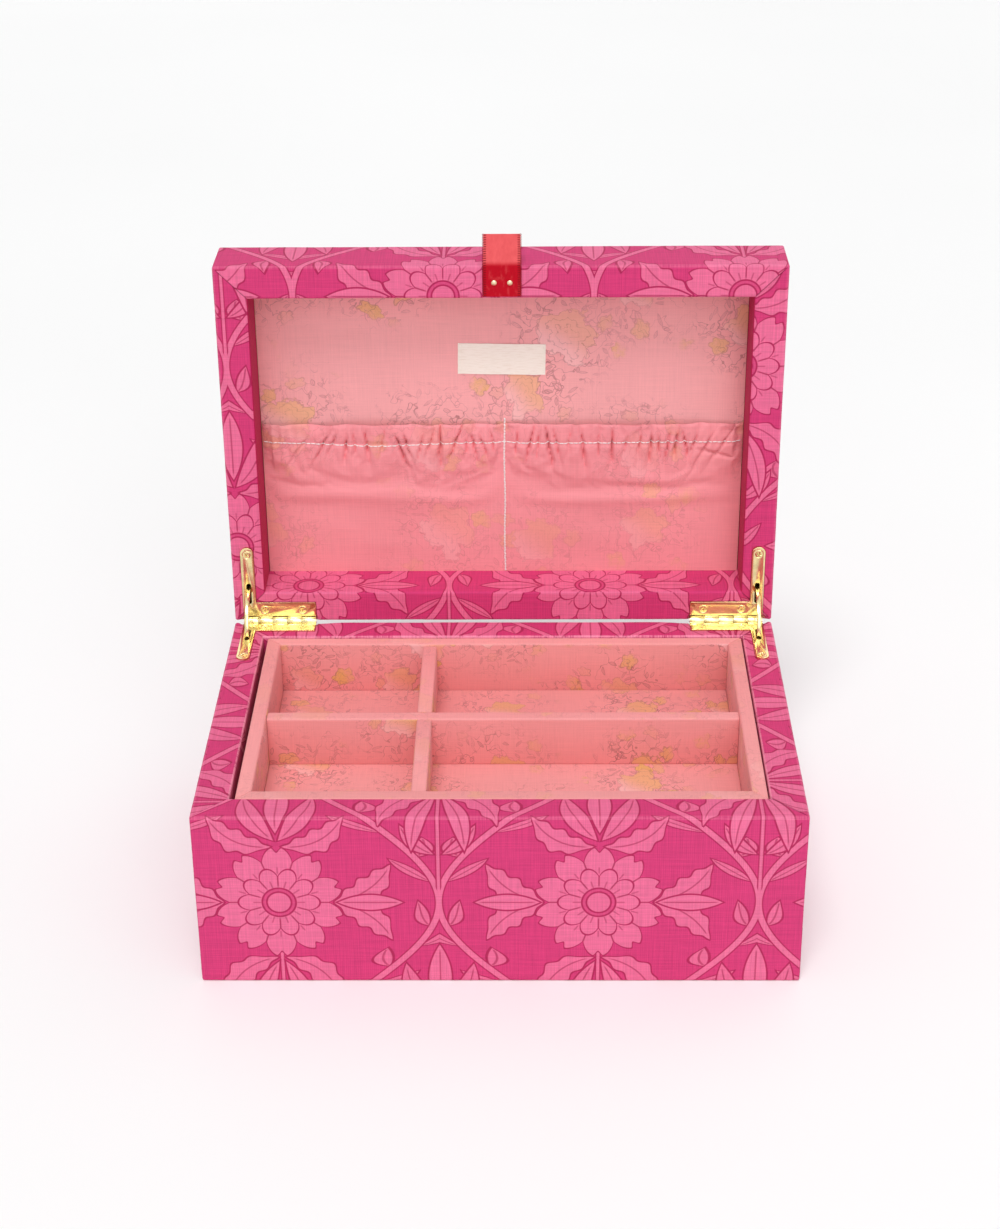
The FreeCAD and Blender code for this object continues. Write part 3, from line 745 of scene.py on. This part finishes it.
# Creases along the elastic: place from the left end, depth, slant and length below the stitching
creases = [
    (18, 0.35, 0.7, 15), (27, 0.7, 0.5, 12), (31, 0.6, 0.4, 7), (37, 0.8, 0.1, 8), (40.5, 0.7, 0.0, 6),
    (46, 0.9, -0.1, 9), (53, 0.4, 0.2, 6), (60, 1.0, -0.35, 15), (63.5, 0.8, -0.3, 9), (70, 0.6, 0.2, 8),
    (74, 0.5, 0.3, 6), (78.5, 1.0, 0.0, 19), (85, 0.7, 0.35, 9), (90, 0.5, 0.1, 7), (93, 0.8, -0.2, 8),
    (97, 0.6, -0.3, 9), (101.5, 0.6, -0.2, 7), (112, 0.6, 0.1, 7), (118, 0.8, 0.2, 10),
    (121.5, 0.6, 0.1, 7), (126, 1.0, -0.15, 14), (129.5, 0.7, -0.2, 8), (135, 0.4, 0.1, 6),
    (141, 0.9, -0.1, 14), (148, 0.5, 0.0, 7), (154, 0.9, 0.05, 10), (160, 0.4, 0.2, 7), (166, 0.6, 0.1, 8),
    (171, 1.0, 0.1, 11), (174.5, 0.8, -0.1, 8), (178.5, 0.9, 0.15, 10), (182, 1.0, 0.1, 8),
    (186, 0.9, -0.2, 9), (190, 0.7, 0.3, 7), (196, 0.6, 0.5, 12), (203, 0.5, 0.6, 9)]
# Soft folds of the slack silk: both ends from the pocket's lower left corner, height and half width
folds = [
    (1, 44, 31, 59, 0.45, 2.6), (1, 37, 60, 40, 0.5, 3.2), (56, 40, 98, 33, 0.3, 3.5),
    (20, 22, 74, 18, 0.2, 4.0), (112, 35, 208, 38, 0.55, 3.2), (131, 49, 195, 45, 0.4, 3.0),
    (120, 18, 190, 22, 0.2, 4.5), (190, 61, 208, 56, -0.9, 0.9)]


def foldHeight(x, z):
    total = 0.0
    for x0, z0, x1, z1, high, wide in folds:
        run = Vector((x1 - x0, z1 - z0))
        out = Vector((x - left - x0, z - foot - z0))
        share = out.dot(run) / run.length_squared
        if 0 < share < 1:
            gap = (out - run * share).length / wide
            total += high * exp(-gap * gap) * min(1.0, 5 * share * (1 - share))
    return total


def pocketDepth(x, z):
    # How far the silk stands off the lining
    side = (left, seam) if x < seam else (seam, right)
    share = (x - side[0]) / (side[1] - side[0])
    hump = 4 * share * (1 - share)
    ends = min(1.0, hump * 6)
    rise = min(1.0, (z - foot) / pocket["risen"])
    below = elastic - z
    body = pocket["slack"] + pocket["swell"] * hump ** 0.7 * rise ** 1.4
    body += pocket["sway"] * waver(x * 0.03, z * 0.05, 2.2) * rise
    body += foldHeight(x, z) * ends
    puff = exp(-(below / pocket["puffLong"]) ** 2) if below > 0 else 1.0
    cut = 0.0
    tallest, half, roll = pocket["creaseTall"], pocket["creaseHalf"], pocket["roll"]
    for place, deep, slant, length in creases:
        middle = left + place - slant * below + pocket["wander"] * waver(place, z * 0.22, 0)
        tall = tallest[0] + tallest[1] * abs(waver(place * 0.9, 3.0, 1.0))
        reach = exp(-(below / (length if below > 0 else tall)) ** 2)
        gap = abs(x - middle) / (half[0] + half[1] * max(below, 0.0))
        if gap < 8:
            cut = max(cut, deep * reach * exp(-gap ** 1.1))
    ruck = pocket["ruck"] * waver(x * 0.35, z * 0.12, 6.0) * puff
    gathers = pocket["puff"] * (puff * (1 - cut) - 0.7 * cut) + ruck - bulge(below, *pocket["sewn"])
    rolled = roll[0] * max(0.0, 1 - (hem - z) / roll[1])
    return max(pocket["least"], body + ends * gathers - rolled)


fineFoot = elastic - pocket["fineFrom"]
coarse, fine = pocket["coarse"], pocket["fine"]
heights = [foot + (fineFoot - foot) * j / coarse for j in range(coarse)]
heights += [fineFoot + (hem - fineFoot) * j / fine for j in range(fine + 1)]
bm = gridSheet(pocket["columns"], len(heights) - 1)
cells = []
for vert in bm.verts:
    column = round((vert.co.x + 1) / 2 * pocket["columns"])
    row = round((vert.co.y + 1) / 2 * (len(heights) - 1))
    cells.append((column, row))
    x, z = left + (right - left) * column / pocket["columns"], heights[row]
    lift = waver(x * 0.11, 5.0, 0.0) * 0.7 - 0.4
    frill = max(0.0, (z - elastic) / pocket["frill"])
    vert.co = (x, face - pocketDepth(x, z), z + lift * frill)
shape = [v.co.copy() for v in bm.verts]


def settleSilk(bm, shape, cells):
    # Worked at ten times the size, where the solver's least distance is small enough
    scale = settle["scale"] * mm
    bmesh.ops.transform(bm, matrix=Matrix.Scale(scale, 4), verts=bm.verts)
    sheet = meshObject("pocketScratch", bm)
    held = sheet.vertex_groups.new(name="held")
    snug = sheet.vertex_groups.new(name="snug")
    for index, (spot, (column, row)) in enumerate(zip(shape, cells)):
        away = spot.z - elastic
        if row < 2 or column in (0, pocket["columns"]) or abs(spot.x - seam) < settle["near"]:
            held.add([index], 1.0, "REPLACE")
        elif abs(away) < settle["near"]:
            held.add([index], 0.9, "REPLACE")
        snug.add([index], 1 - exp(-(away / settle["eased"]) ** 2) if away < 0 else 0.0, "REPLACE")
    block = bmesh.new()
    bmesh.ops.create_cube(block, size=1.0)
    wide, deep, tall = settle["block"]
    bmesh.ops.scale(block, vec=(wide * scale, deep * scale, tall * scale), verts=block.verts)
    bmesh.ops.translate(block, vec=(0, (face + deep / 2) * scale, tall * scale), verts=block.verts)
    stop = meshObject("wallScratch", block)
    block.free()
    stop.modifiers.new("collision", "COLLISION")
    stop.collision.thickness_outer = settle["gap"]
    cloth = sheet.modifiers.new("cloth", "CLOTH")
    cloth.collision_settings.distance_min = settle["gap"]
    rules = cloth.settings
    rules.vertex_group_mass = "held"
    rules.vertex_group_shrink = "snug"
    rules.shrink_min, rules.shrink_max = -settle["spare"], 0.0
    for name, value in settle["rules"].items():
        setattr(rules, name, value)
    rules.effector_weights.gravity = 0
    scene = bpy.context.scene
    for step in range(1, settle["frames"] + 1):
        scene.frame_set(step)
    settled = sheet.evaluated_get(bpy.context.evaluated_depsgraph_get()).to_mesh()
    farthest = 0.0
    for spot, vert in zip(shape, settled.vertices):
        move = vert.co / scale - spot
        farthest = max(farthest, move.length)
        if move.length > settle["farthest"]:
            move *= settle["farthest"] / move.length
        spot += move
        spot.y = min(max(spot.y, face - settle["front"]), face - settle["back"])
        spot.x = min(max(spot.x, left), right)
    print("pocket settled, farthest move", round(farthest, 2))
    scene.frame_set(1)
    bpy.data.objects.remove(sheet)
    bpy.data.objects.remove(stop)


settleSilk(bm, shape, cells)
for vert, spot in zip(bm.verts, shape):
    vert.co = spot * mm
tree = BVHTree.FromBMesh(bm)
area = sum(f.calc_area() for f in bm.faces)
frontSheet(bm, pocket["thick"])
pocketPiece = makePiece("gatheredPocket", bm, "pocketSilk", "lid", ("lid_pocket",), 80.0)
print("pocket done, cloth area", round(area, 5))


# Stitching in thick pale thread: along the elastic and down the middle seam
sewing = {"step": 2.1, "gap": 0.12, "radius": 0.25, "seamStep": 1.35, "seamRadius": 0.4, "seamShift": 0.12,
          "sides": 7, "shares": (0, 0.12, 0.3, 0.5, 0.7, 0.88, 1), "seamShares": (0, 0.15, 0.4, 0.7, 0.9, 1),
          "sags": ((1.5, -55, 26), (0.5, 12, 30)), "over": 0.6, "waver": 0.2, "start": 0.6, "end": 2.2,
          "seamStart": 0.3, "seamPast": 1.2, "seamWaver": 0.15}
front = Vector((0, -1, 0))


def onPocket(x, z):
    # The silk's surface, met from in front of the lid
    hit = tree.ray_cast(Vector((x, 60, z)) * mm, Vector((0, 1, 0)))[0]
    return hit / mm if hit else Vector((x, face - 0.6, z))


def tube(middle, first, second, radius, sides):
    turns = [k * tau / sides for k in range(sides)]
    return [middle + (first * cos(t) + second * sin(t)) * radius for t in turns]


def stitch(bm, points, radius, out):
    # A short rounded thread along a few points, dipping in at both ends
    rows = []
    last = len(points) - 1
    for i, point in enumerate(points):
        along = points[min(i + 1, last)] - points[max(i - 1, 0)]
        across = along.cross(out).normalized()
        size, rise = (0.5, -0.2) if i in (0, last) else (1.0, 0.5)
        ring = tube(point + out * (rise * radius), across, out, radius * size, sewing["sides"])
        rows.append([spot * mm for spot in ring])
    loft(bm, rows, True)


def stitchLine(x):
    # The elastic's stitching sags in the left half and rises towards the right
    sag = sum(bulge(x, *sizes) for sizes in sewing["sags"])
    return elastic + sewing["over"] - sag + sewing["waver"] * waver(x * 0.1, 0, 0)


bm = bmesh.new()
x = left + sewing["start"]
while x < right - sewing["end"]:
    spots = [x + (sewing["step"] - sewing["gap"]) * share for share in sewing["shares"]]
    stitch(bm, [onPocket(spot, stitchLine(spot)) for spot in spots], sewing["radius"], front)
    x += sewing["step"]
z = foot + sewing["seamStart"]
while z < hem + sewing["seamPast"]:
    x = seam + sewing["seamWaver"] * sin(z * 0.16)
    shift = sewing["seamShift"] if int(z / sewing["seamStep"]) % 2 else -sewing["seamShift"]
    points = [onPocket(x + shift * (2 * t - 1), z + (sewing["seamStep"] - 0.1) * t)
              for t in sewing["seamShares"]]
    stitch(bm, points, sewing["seamRadius"], front)
    z += sewing["seamStep"]
bmesh.ops.holes_fill(bm, edges=bm.edges, sides=sewing["sides"])
pocketSewing = makePiece("pocketSewing", bm, "thread", "lid", (), 60.0)

# Woven label, bare, sewn down at its two ends
label = {"width": 38.0, "height": 14.0, "turn": 1.0, "bulge": 0.28, "thick": 0.3, "columns": 38, "rows": 14,
         "stitches": 6, "stitchStep": 2.05, "stitchLong": 1.45, "stitchFoot": -5.6, "stitchInset": 1.1,
         "stitchRadius": 0.13, "off": 0.42, "stitchOff": 0.5}
low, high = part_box("lid_label")
middle = (low + high) / 2 / mm
spin = Matrix.Rotation(radians(label["turn"]), 3, "Y")
bm = gridSheet(label["columns"], label["rows"])
for vert in bm.verts:
    a, b = vert.co.x, vert.co.y
    x, z = a * label["width"] / 2, b * label["height"] / 2
    lift = label["bulge"] * (1 - a * a) * (0.7 + 0.3 * waver(x * 0.12, z * 0.2, 0))
    lift += 0.12 * abs(b) ** 6 * (0.5 + waver(x * 0.2, b, 5))
    z += 0.12 * waver(x * 0.25, b * 3, 1) * abs(b) ** 4
    x += 0.1 * waver(a * 3, z * 0.4, 2) * abs(a) ** 6
    spot = spin @ Vector((x, 0, z))
    vert.co = Vector((middle.x + spot.x, face - label["off"] - lift, middle.z + spot.z)) * mm
frontSheet(bm, label["thick"])
labelPiece = makePiece("wovenLabel", bm, "tape", "lid", ("lid_label",), 50.0)
bm = bmesh.new()
deep = Vector((middle.x, face - label["stitchOff"], middle.z))
for end in (-1, 1):
    x = end * (label["width"] / 2 - label["stitchInset"])
    for k in range(label["stitches"]):
        z = label["stitchFoot"] + k * label["stitchStep"]
        a, b = spin @ Vector((x, 0, z)), spin @ Vector((x, 0, z + label["stitchLong"]))
        stitch(bm, [deep + a.lerp(b, t) for t in (0, 0.15, 0.5, 0.85, 1)], label["stitchRadius"], front)
bmesh.ops.holes_fill(bm, edges=bm.edges, sides=sewing["sides"])
labelSewing = makePiece("labelSewing", bm, "tape", "lid", (), 60.0)
print("label done")

# Ribbon pull: two layers of satin, folded over at the tip, with looped edges
tab = {"x": 0.6, "width": 15.5, "start": -69.5, "bend": 2.5, "turn": 40.0, "reach": 12.0, "outer": 0.62,
       "inner": 0.16, "thick": 0.26, "columns": 22, "loop": 0.42, "cord": 0.12, "spacing": 1.02, "sides": 5,
       "sunk": 0.06, "flatSteps": 24, "bendSteps": 8, "runSteps": 22, "tipSteps": 8, "loopSteps": 8,
       "loopStart": 0.4, "loopEnd": 0.6, "ripple": 0.05}


def tabPath():
    # Side view in the shut position, from the lower layer's end round the tip to the upper layer's end
    edgeY, rim = -case["halfY"], case["lidRim"]
    turn = radians(tab["turn"])
    out = Vector((-cos(turn), sin(turn)))
    sideways = Vector((-sin(turn), -cos(turn)))
    centre = Vector((edgeY, rim + tab["bend"]))

    def layer(offset):
        start, steps = tab["start"], tab["flatSteps"]
        flat = [Vector((start + (edgeY - start) * i / steps, rim - offset)) for i in range(steps)]
        bend = []
        for i in range(tab["bendSteps"] + 1):
            t = turn * i / tab["bendSteps"]
            bend.append(centre + Vector((-sin(t), -cos(t))) * (tab["bend"] + offset))
        run = [bend[-1] + out * tab["reach"] * (i + 1) / tab["runSteps"] for i in range(tab["runSteps"])]
        return flat + bend + run

    lower, upper = layer(tab["outer"]), layer(tab["inner"])
    radius = (tab["outer"] - tab["inner"]) / 2
    hub = (lower[-1] + upper[-1]) / 2
    tip = []
    for i in range(1, tab["tipSteps"]):
        t = pi * i / tab["tipSteps"]
        tip.append(hub + sideways * radius * cos(t) + out * radius * sin(t))
    return lower + tip + upper[::-1]


path = tabPath()
travel = [0.0]
for a, b in zip(path, path[1:]):
    travel.append(travel[-1] + (b - a).length)
bm = bmesh.new()
layerUv = bm.loops.layers.uv.new("along")
rows = []
for spot, gone in zip(path, travel):
    row = []
    for i in range(tab["columns"] + 1):
        across = i / tab["columns"]
        x = tab["x"] + (across - 0.5) * tab["width"]
        ripple = tab["ripple"] * waver(x * 0.3, gone * 0.2, 0)
        row.append(opened @ Vector((x, spot.x, spot.y + ripple)) * mm)
    rows.append(row)
made = loft(bm, rows, False)
places = {}
for gone, row in zip(travel, made):
    for i, vert in enumerate(row):
        places[vert] = (i / tab["columns"] * tab["width"], gone)
for f in bm.faces:
    for corner in f.loops:
        corner[layerUv].uv = places[corner.vert]
bmesh.ops.recalc_face_normals(bm, faces=bm.faces)
bmesh.ops.solidify(bm, geom=bm.faces, thickness=tab["thick"] * mm)
ribbon = makePiece("ribbonPull", bm, "ribbon", "lid", ("pull_tab",), 70.0)
bm = bmesh.new()
layerUv = bm.loops.layers.uv.new("along")
gone, index = tab["loopStart"], 0
while gone < travel[-1] - tab["loopEnd"]:
    while travel[index + 1] < gone:
        index += 1
    share = (gone - travel[index]) / (travel[index + 1] - travel[index])
    spot = path[index].lerp(path[index + 1], share)
    ahead = (path[index + 1] - path[index]).normalized()
    for side in (-1, 1):
        rows = []
        for k in range(tab["loopSteps"] + 1):
            t = pi * k / tab["loopSteps"]
            reach, along = sin(t) * tab["loop"], -cos(t) * tab["loop"]
            across = tab["x"] + side * (tab["width"] / 2 - tab["sunk"] + reach)
            hub = Vector((across, *(spot + ahead * along)))
            swell = Vector((side * sin(t), *(ahead * -cos(t))))
            rise = Vector((0, -ahead.y, ahead.x))
            rows.append([opened @ point * mm for point in tube(hub, swell, rise, tab["cord"], tab["sides"])])
        loft(bm, rows, True)
    gone += tab["spacing"]
for f in bm.faces:
    for corner in f.loops:
        corner[layerUv].uv = (1.0, corner.vert.co.z / mm)
bmesh.ops.holes_fill(bm, edges=bm.edges, sides=tab["sides"])
ribbonEdge = makePiece("ribbonLoops", bm, "ribbon", "lid", (), 80.0)
print("ribbon done, length", round(travel[-1], 1))

# Round-headed nails through the ribbon
nail = {"spacing": 6.6, "y": -75.5, "radius": 1.15, "height": 0.5, "segments": 28,
        "outline": [(0.0, 1.0), (0.28, 0.97), (0.55, 0.84), (0.78, 0.6), (0.93, 0.3), (1.0, 0.05),
                    (0.96, -0.12), (0.5, -0.14), (0.0, -0.14)], "proud": 0.15}
bm = bmesh.new()
outline = [(share * nail["radius"], -rise * nail["height"]) for share, rise in nail["outline"]]
turned(bm, outline, nail["segments"])
first = (tab["x"] - nail["spacing"] / 2, nail["y"], case["lidRim"] - tab["outer"] - nail["proud"])
bmesh.ops.translate(bm, verts=bm.verts, vec=first)
second = bmesh.ops.duplicate(bm, geom=bm.verts[:] + bm.edges[:] + bm.faces[:])["geom"]
bmesh.ops.translate(bm, verts=vertsOf(second), vec=(nail["spacing"], 0, 0))
bmesh.ops.transform(bm, matrix=Matrix.Scale(mm, 4) @ opened, verts=bm.verts)
makePiece("ribbonNails", bm, "nail", "lid", ("tab_nails",), 60.0)
print("nails done")

# Hinges: the solids with their edges eased
easing = {"leaf": 0.22, "stay": 0.15, "merge": 2e-6, "flat": 1.0, "sharp": 40.0, "segments": 2}


def eased(name, node, body, width, look="gold"):
    bm = bmesh.new()
    bm.from_mesh(nodes[node].data)
    flat, sharp = radians(easing["flat"]), radians(easing["sharp"])
    bmesh.ops.remove_doubles(bm, verts=bm.verts, dist=easing["merge"])
    bmesh.ops.dissolve_limit(bm, angle_limit=flat, verts=bm.verts, edges=bm.edges)
    edges = [e for e in bm.edges if len(e.link_faces) == 2 and e.calc_face_angle(0) > sharp]
    bmesh.ops.bevel(bm, geom=edges, offset=width * mm, offset_type="OFFSET", segments=easing["segments"],
                    profile=0.5, affect="EDGES", material=-1, clamp_overlap=True)
    return makePiece(name, bm, look, body, (node,), 30.0)


for side in ("left", "right"):
    eased(side + "BaseLeaf", side + "_base_leaf", "base", easing["leaf"])
    eased(side + "LidLeaf", side + "_lid_leaf", "lid", easing["leaf"])
    eased(side + "Stay", side + "_hinge_stay", side + "_stay", easing["stay"])

# Cross-headed screws, flush in the leaves
screw = {"radius": 1.76, "neck": 1.0, "depth": 0.8, "tail": 2.2, "dome": 0.06, "arm": 0.98, "slot": 0.2,
         "sunk": 0.55, "soft": 0.12, "low": 0.13, "segments": 48, "rings": 14}
screwPlaces = [(89.5, axis.y - 5.5), (106.3, axis.y - 5.5), (113.0, hinge["tipY"] + 3.4)]


def screwHead(bm):
    outline = [(screw["radius"] * ring / screw["rings"], 0.0) for ring in range(screw["rings"] + 1)]
    outline += [(screw["neck"], -screw["depth"]), (screw["neck"], -screw["tail"]), (0.0, -screw["tail"])]
    turned(bm, outline, screw["segments"])
    for vert in bm.verts:
        if vert.co.z < -0.1:
            continue
        x, y = abs(vert.co.x), abs(vert.co.y)
        share = hypot(x, y) / screw["radius"]
        cross = min(max(x - screw["arm"], y - screw["slot"]), max(y - screw["arm"], x - screw["slot"]))
        sink = min(1.0, max(0.0, 0.5 - cross / screw["soft"])) * screw["sunk"] * (1 - 0.5 * share)
        vert.co.z = screw["dome"] * (1 - share * share) - sink - max(0.0, share - 0.9)


for name, body, up, turn, node in (("baseScrews", "base", 1, Matrix.Identity(4), "base_hinge_screws"),
                                   ("lidScrews", "lid", -1, opened, "lid_hinge_screws")):
    bm = bmesh.new()
    screwHead(bm)
    pattern = bm.verts[:] + bm.edges[:] + bm.faces[:]
    for index, (x, y) in enumerate(screwPlaces):
        for side in (-1, 1):
            head = vertsOf(bmesh.ops.duplicate(bm, geom=pattern)["geom"])
            place = Matrix.Translation((x * side, y, axis.z - screw["low"] * up))
            place = place @ Matrix.Diagonal((1, 1, up, 1))
            spun = Matrix.Rotation(0.5 + index * 0.9 + side * 0.7 + up, 4, "Z")
            bmesh.ops.transform(bm, matrix=Matrix.Scale(mm, 4) @ turn @ place @ spun, verts=head)
    bmesh.ops.delete(bm, geom=vertsOf(pattern), context="VERTS")
    makePiece(name, bm, "gold", body, (node,), 35.0)
print("hinges done")

# Tray: boards wrapped in silk, soft at the edges
tray = {"ease": 0.5, "boards": ("left_wall", "right_wall", "front_wall", "back_wall", "floor", "long_divider",
                               "back_divider", "front_divider")}
for board in tray["boards"]:
    side, kind = board.split("_") if "_" in board else ("", board)
    eased("tray" + side.title() + kind.title(), "tray_" + board, "tray", tray["ease"], "traySilk")
print("tray done")

# Boards and linings keep their own solids
for name, node in nodes.items():
    look = None
    if name.startswith("lining_") or name == "floor_pad":
        look = "traySilk"
    elif name.endswith("_wall") or name.endswith("_board"):
        look = "board"
    elif name == "underside_sheet":
        look = "backing"
    elif name.endswith("_pin"):
        look = "gold"
    if look:
        node.data.materials.clear()
        node.data.materials.append(looks[look])

# Stage
stage = {"half": 9.0, "shade": (0.92, 0.92, 0.92, 1.0), "pale": (0.96, 0.96, 0.96, 1.0)}
bm = bmesh.new()
bmesh.ops.create_grid(bm, x_segments=2, y_segments=2, size=stage["half"])
ground = meshObject("floor", bm)
bm.free()
net = Net("paleFloor")
x, y, _ = net.place()
cloud = net.noise(net.vector(x, y), 0.002, 2.0, 0.5, "2D")
colour = net.mix(cloud, stage["shade"], stage["pale"])
ground.data.materials.append(net.done(colour, 0.95, None, spec=0.1))

lamps = {
    "keyLamp": {"kind": "SUN", "at": (-0.12, -0.75, 1.5), "size": radians(24), "power": 1.5},
    "fillLamp": {"kind": "SUN", "at": (0.18, -1.15, 0.6), "size": radians(40), "power": 0.62},
    "backLamp": {"kind": "SUN", "at": (0.3, 1.0, 0.9), "size": radians(70), "power": 0.32},
    "glintLamp": {"kind": "AREA", "at": (0.5, -0.9, 1.3), "size": 0.9, "power": 1.5},
}
for name, lamp in lamps.items():
    light = bpy.data.lights.new(name, lamp["kind"])
    if lamp["kind"] == "SUN":
        light.angle = lamp["size"]
    else:
        light.size = lamp["size"]
    light.energy = lamp["power"]
    holder = linked(name, light)
    holder.location = lamp["at"]
    holder.rotation_euler = (Vector((0, 0, 0.1)) - Vector(lamp["at"])).to_track_quat("-Z", "Y").to_euler()

world = bpy.data.worlds.new("studio")
bpy.context.scene.world = world
sky = {"ambient": 0.46, "seen": 1.0}
net = Net(world)
ray = net.node("ShaderNodeLightPath", {}, {}, "Is Camera Ray")
seen = ray.max(ray.of("Is Glossy Ray")).max(ray.of("Is Transmission Ray"))
shine = seen * (sky["seen"] - sky["ambient"]) + sky["ambient"]
glow = net.node("ShaderNodeBackground", {}, {"Color": (1, 1, 1, 1), "Strength": shine})
net.node("ShaderNodeOutputWorld", {}, {"Surface": glow})

# The photo's camera: focal length and image centre in its pixels
view = {"focal": 2351.4, "tall": 1229, "centre": 665.3, "sensor": 36, "at": (0.0117, -0.8541, 0.5594),
        "pitch": 28.288, "yaw": -0.805, "roll": 0.460}
camera = bpy.data.cameras.new("camera")
camera.sensor_width = view["sensor"]
camera.lens = view["focal"] * view["sensor"] / view["tall"]
camera.shift_y = (view["centre"] - view["tall"] / 2) / view["tall"]
eye = linked("camera", camera)
eye.location = view["at"]
pitch, yaw, roll = (radians(view[way]) for way in ("pitch", "yaw", "roll"))
turn = Matrix.Rotation(-yaw, 4, "Z") @ Matrix.Rotation(pi / 2 - pitch, 4, "X")
eye.rotation_euler = (turn @ Matrix.Rotation(-roll, 4, "Z")).to_euler()
bpy.context.scene.camera = eye
bpy.context.scene.view_settings.view_transform = "Standard"
print("stage done")
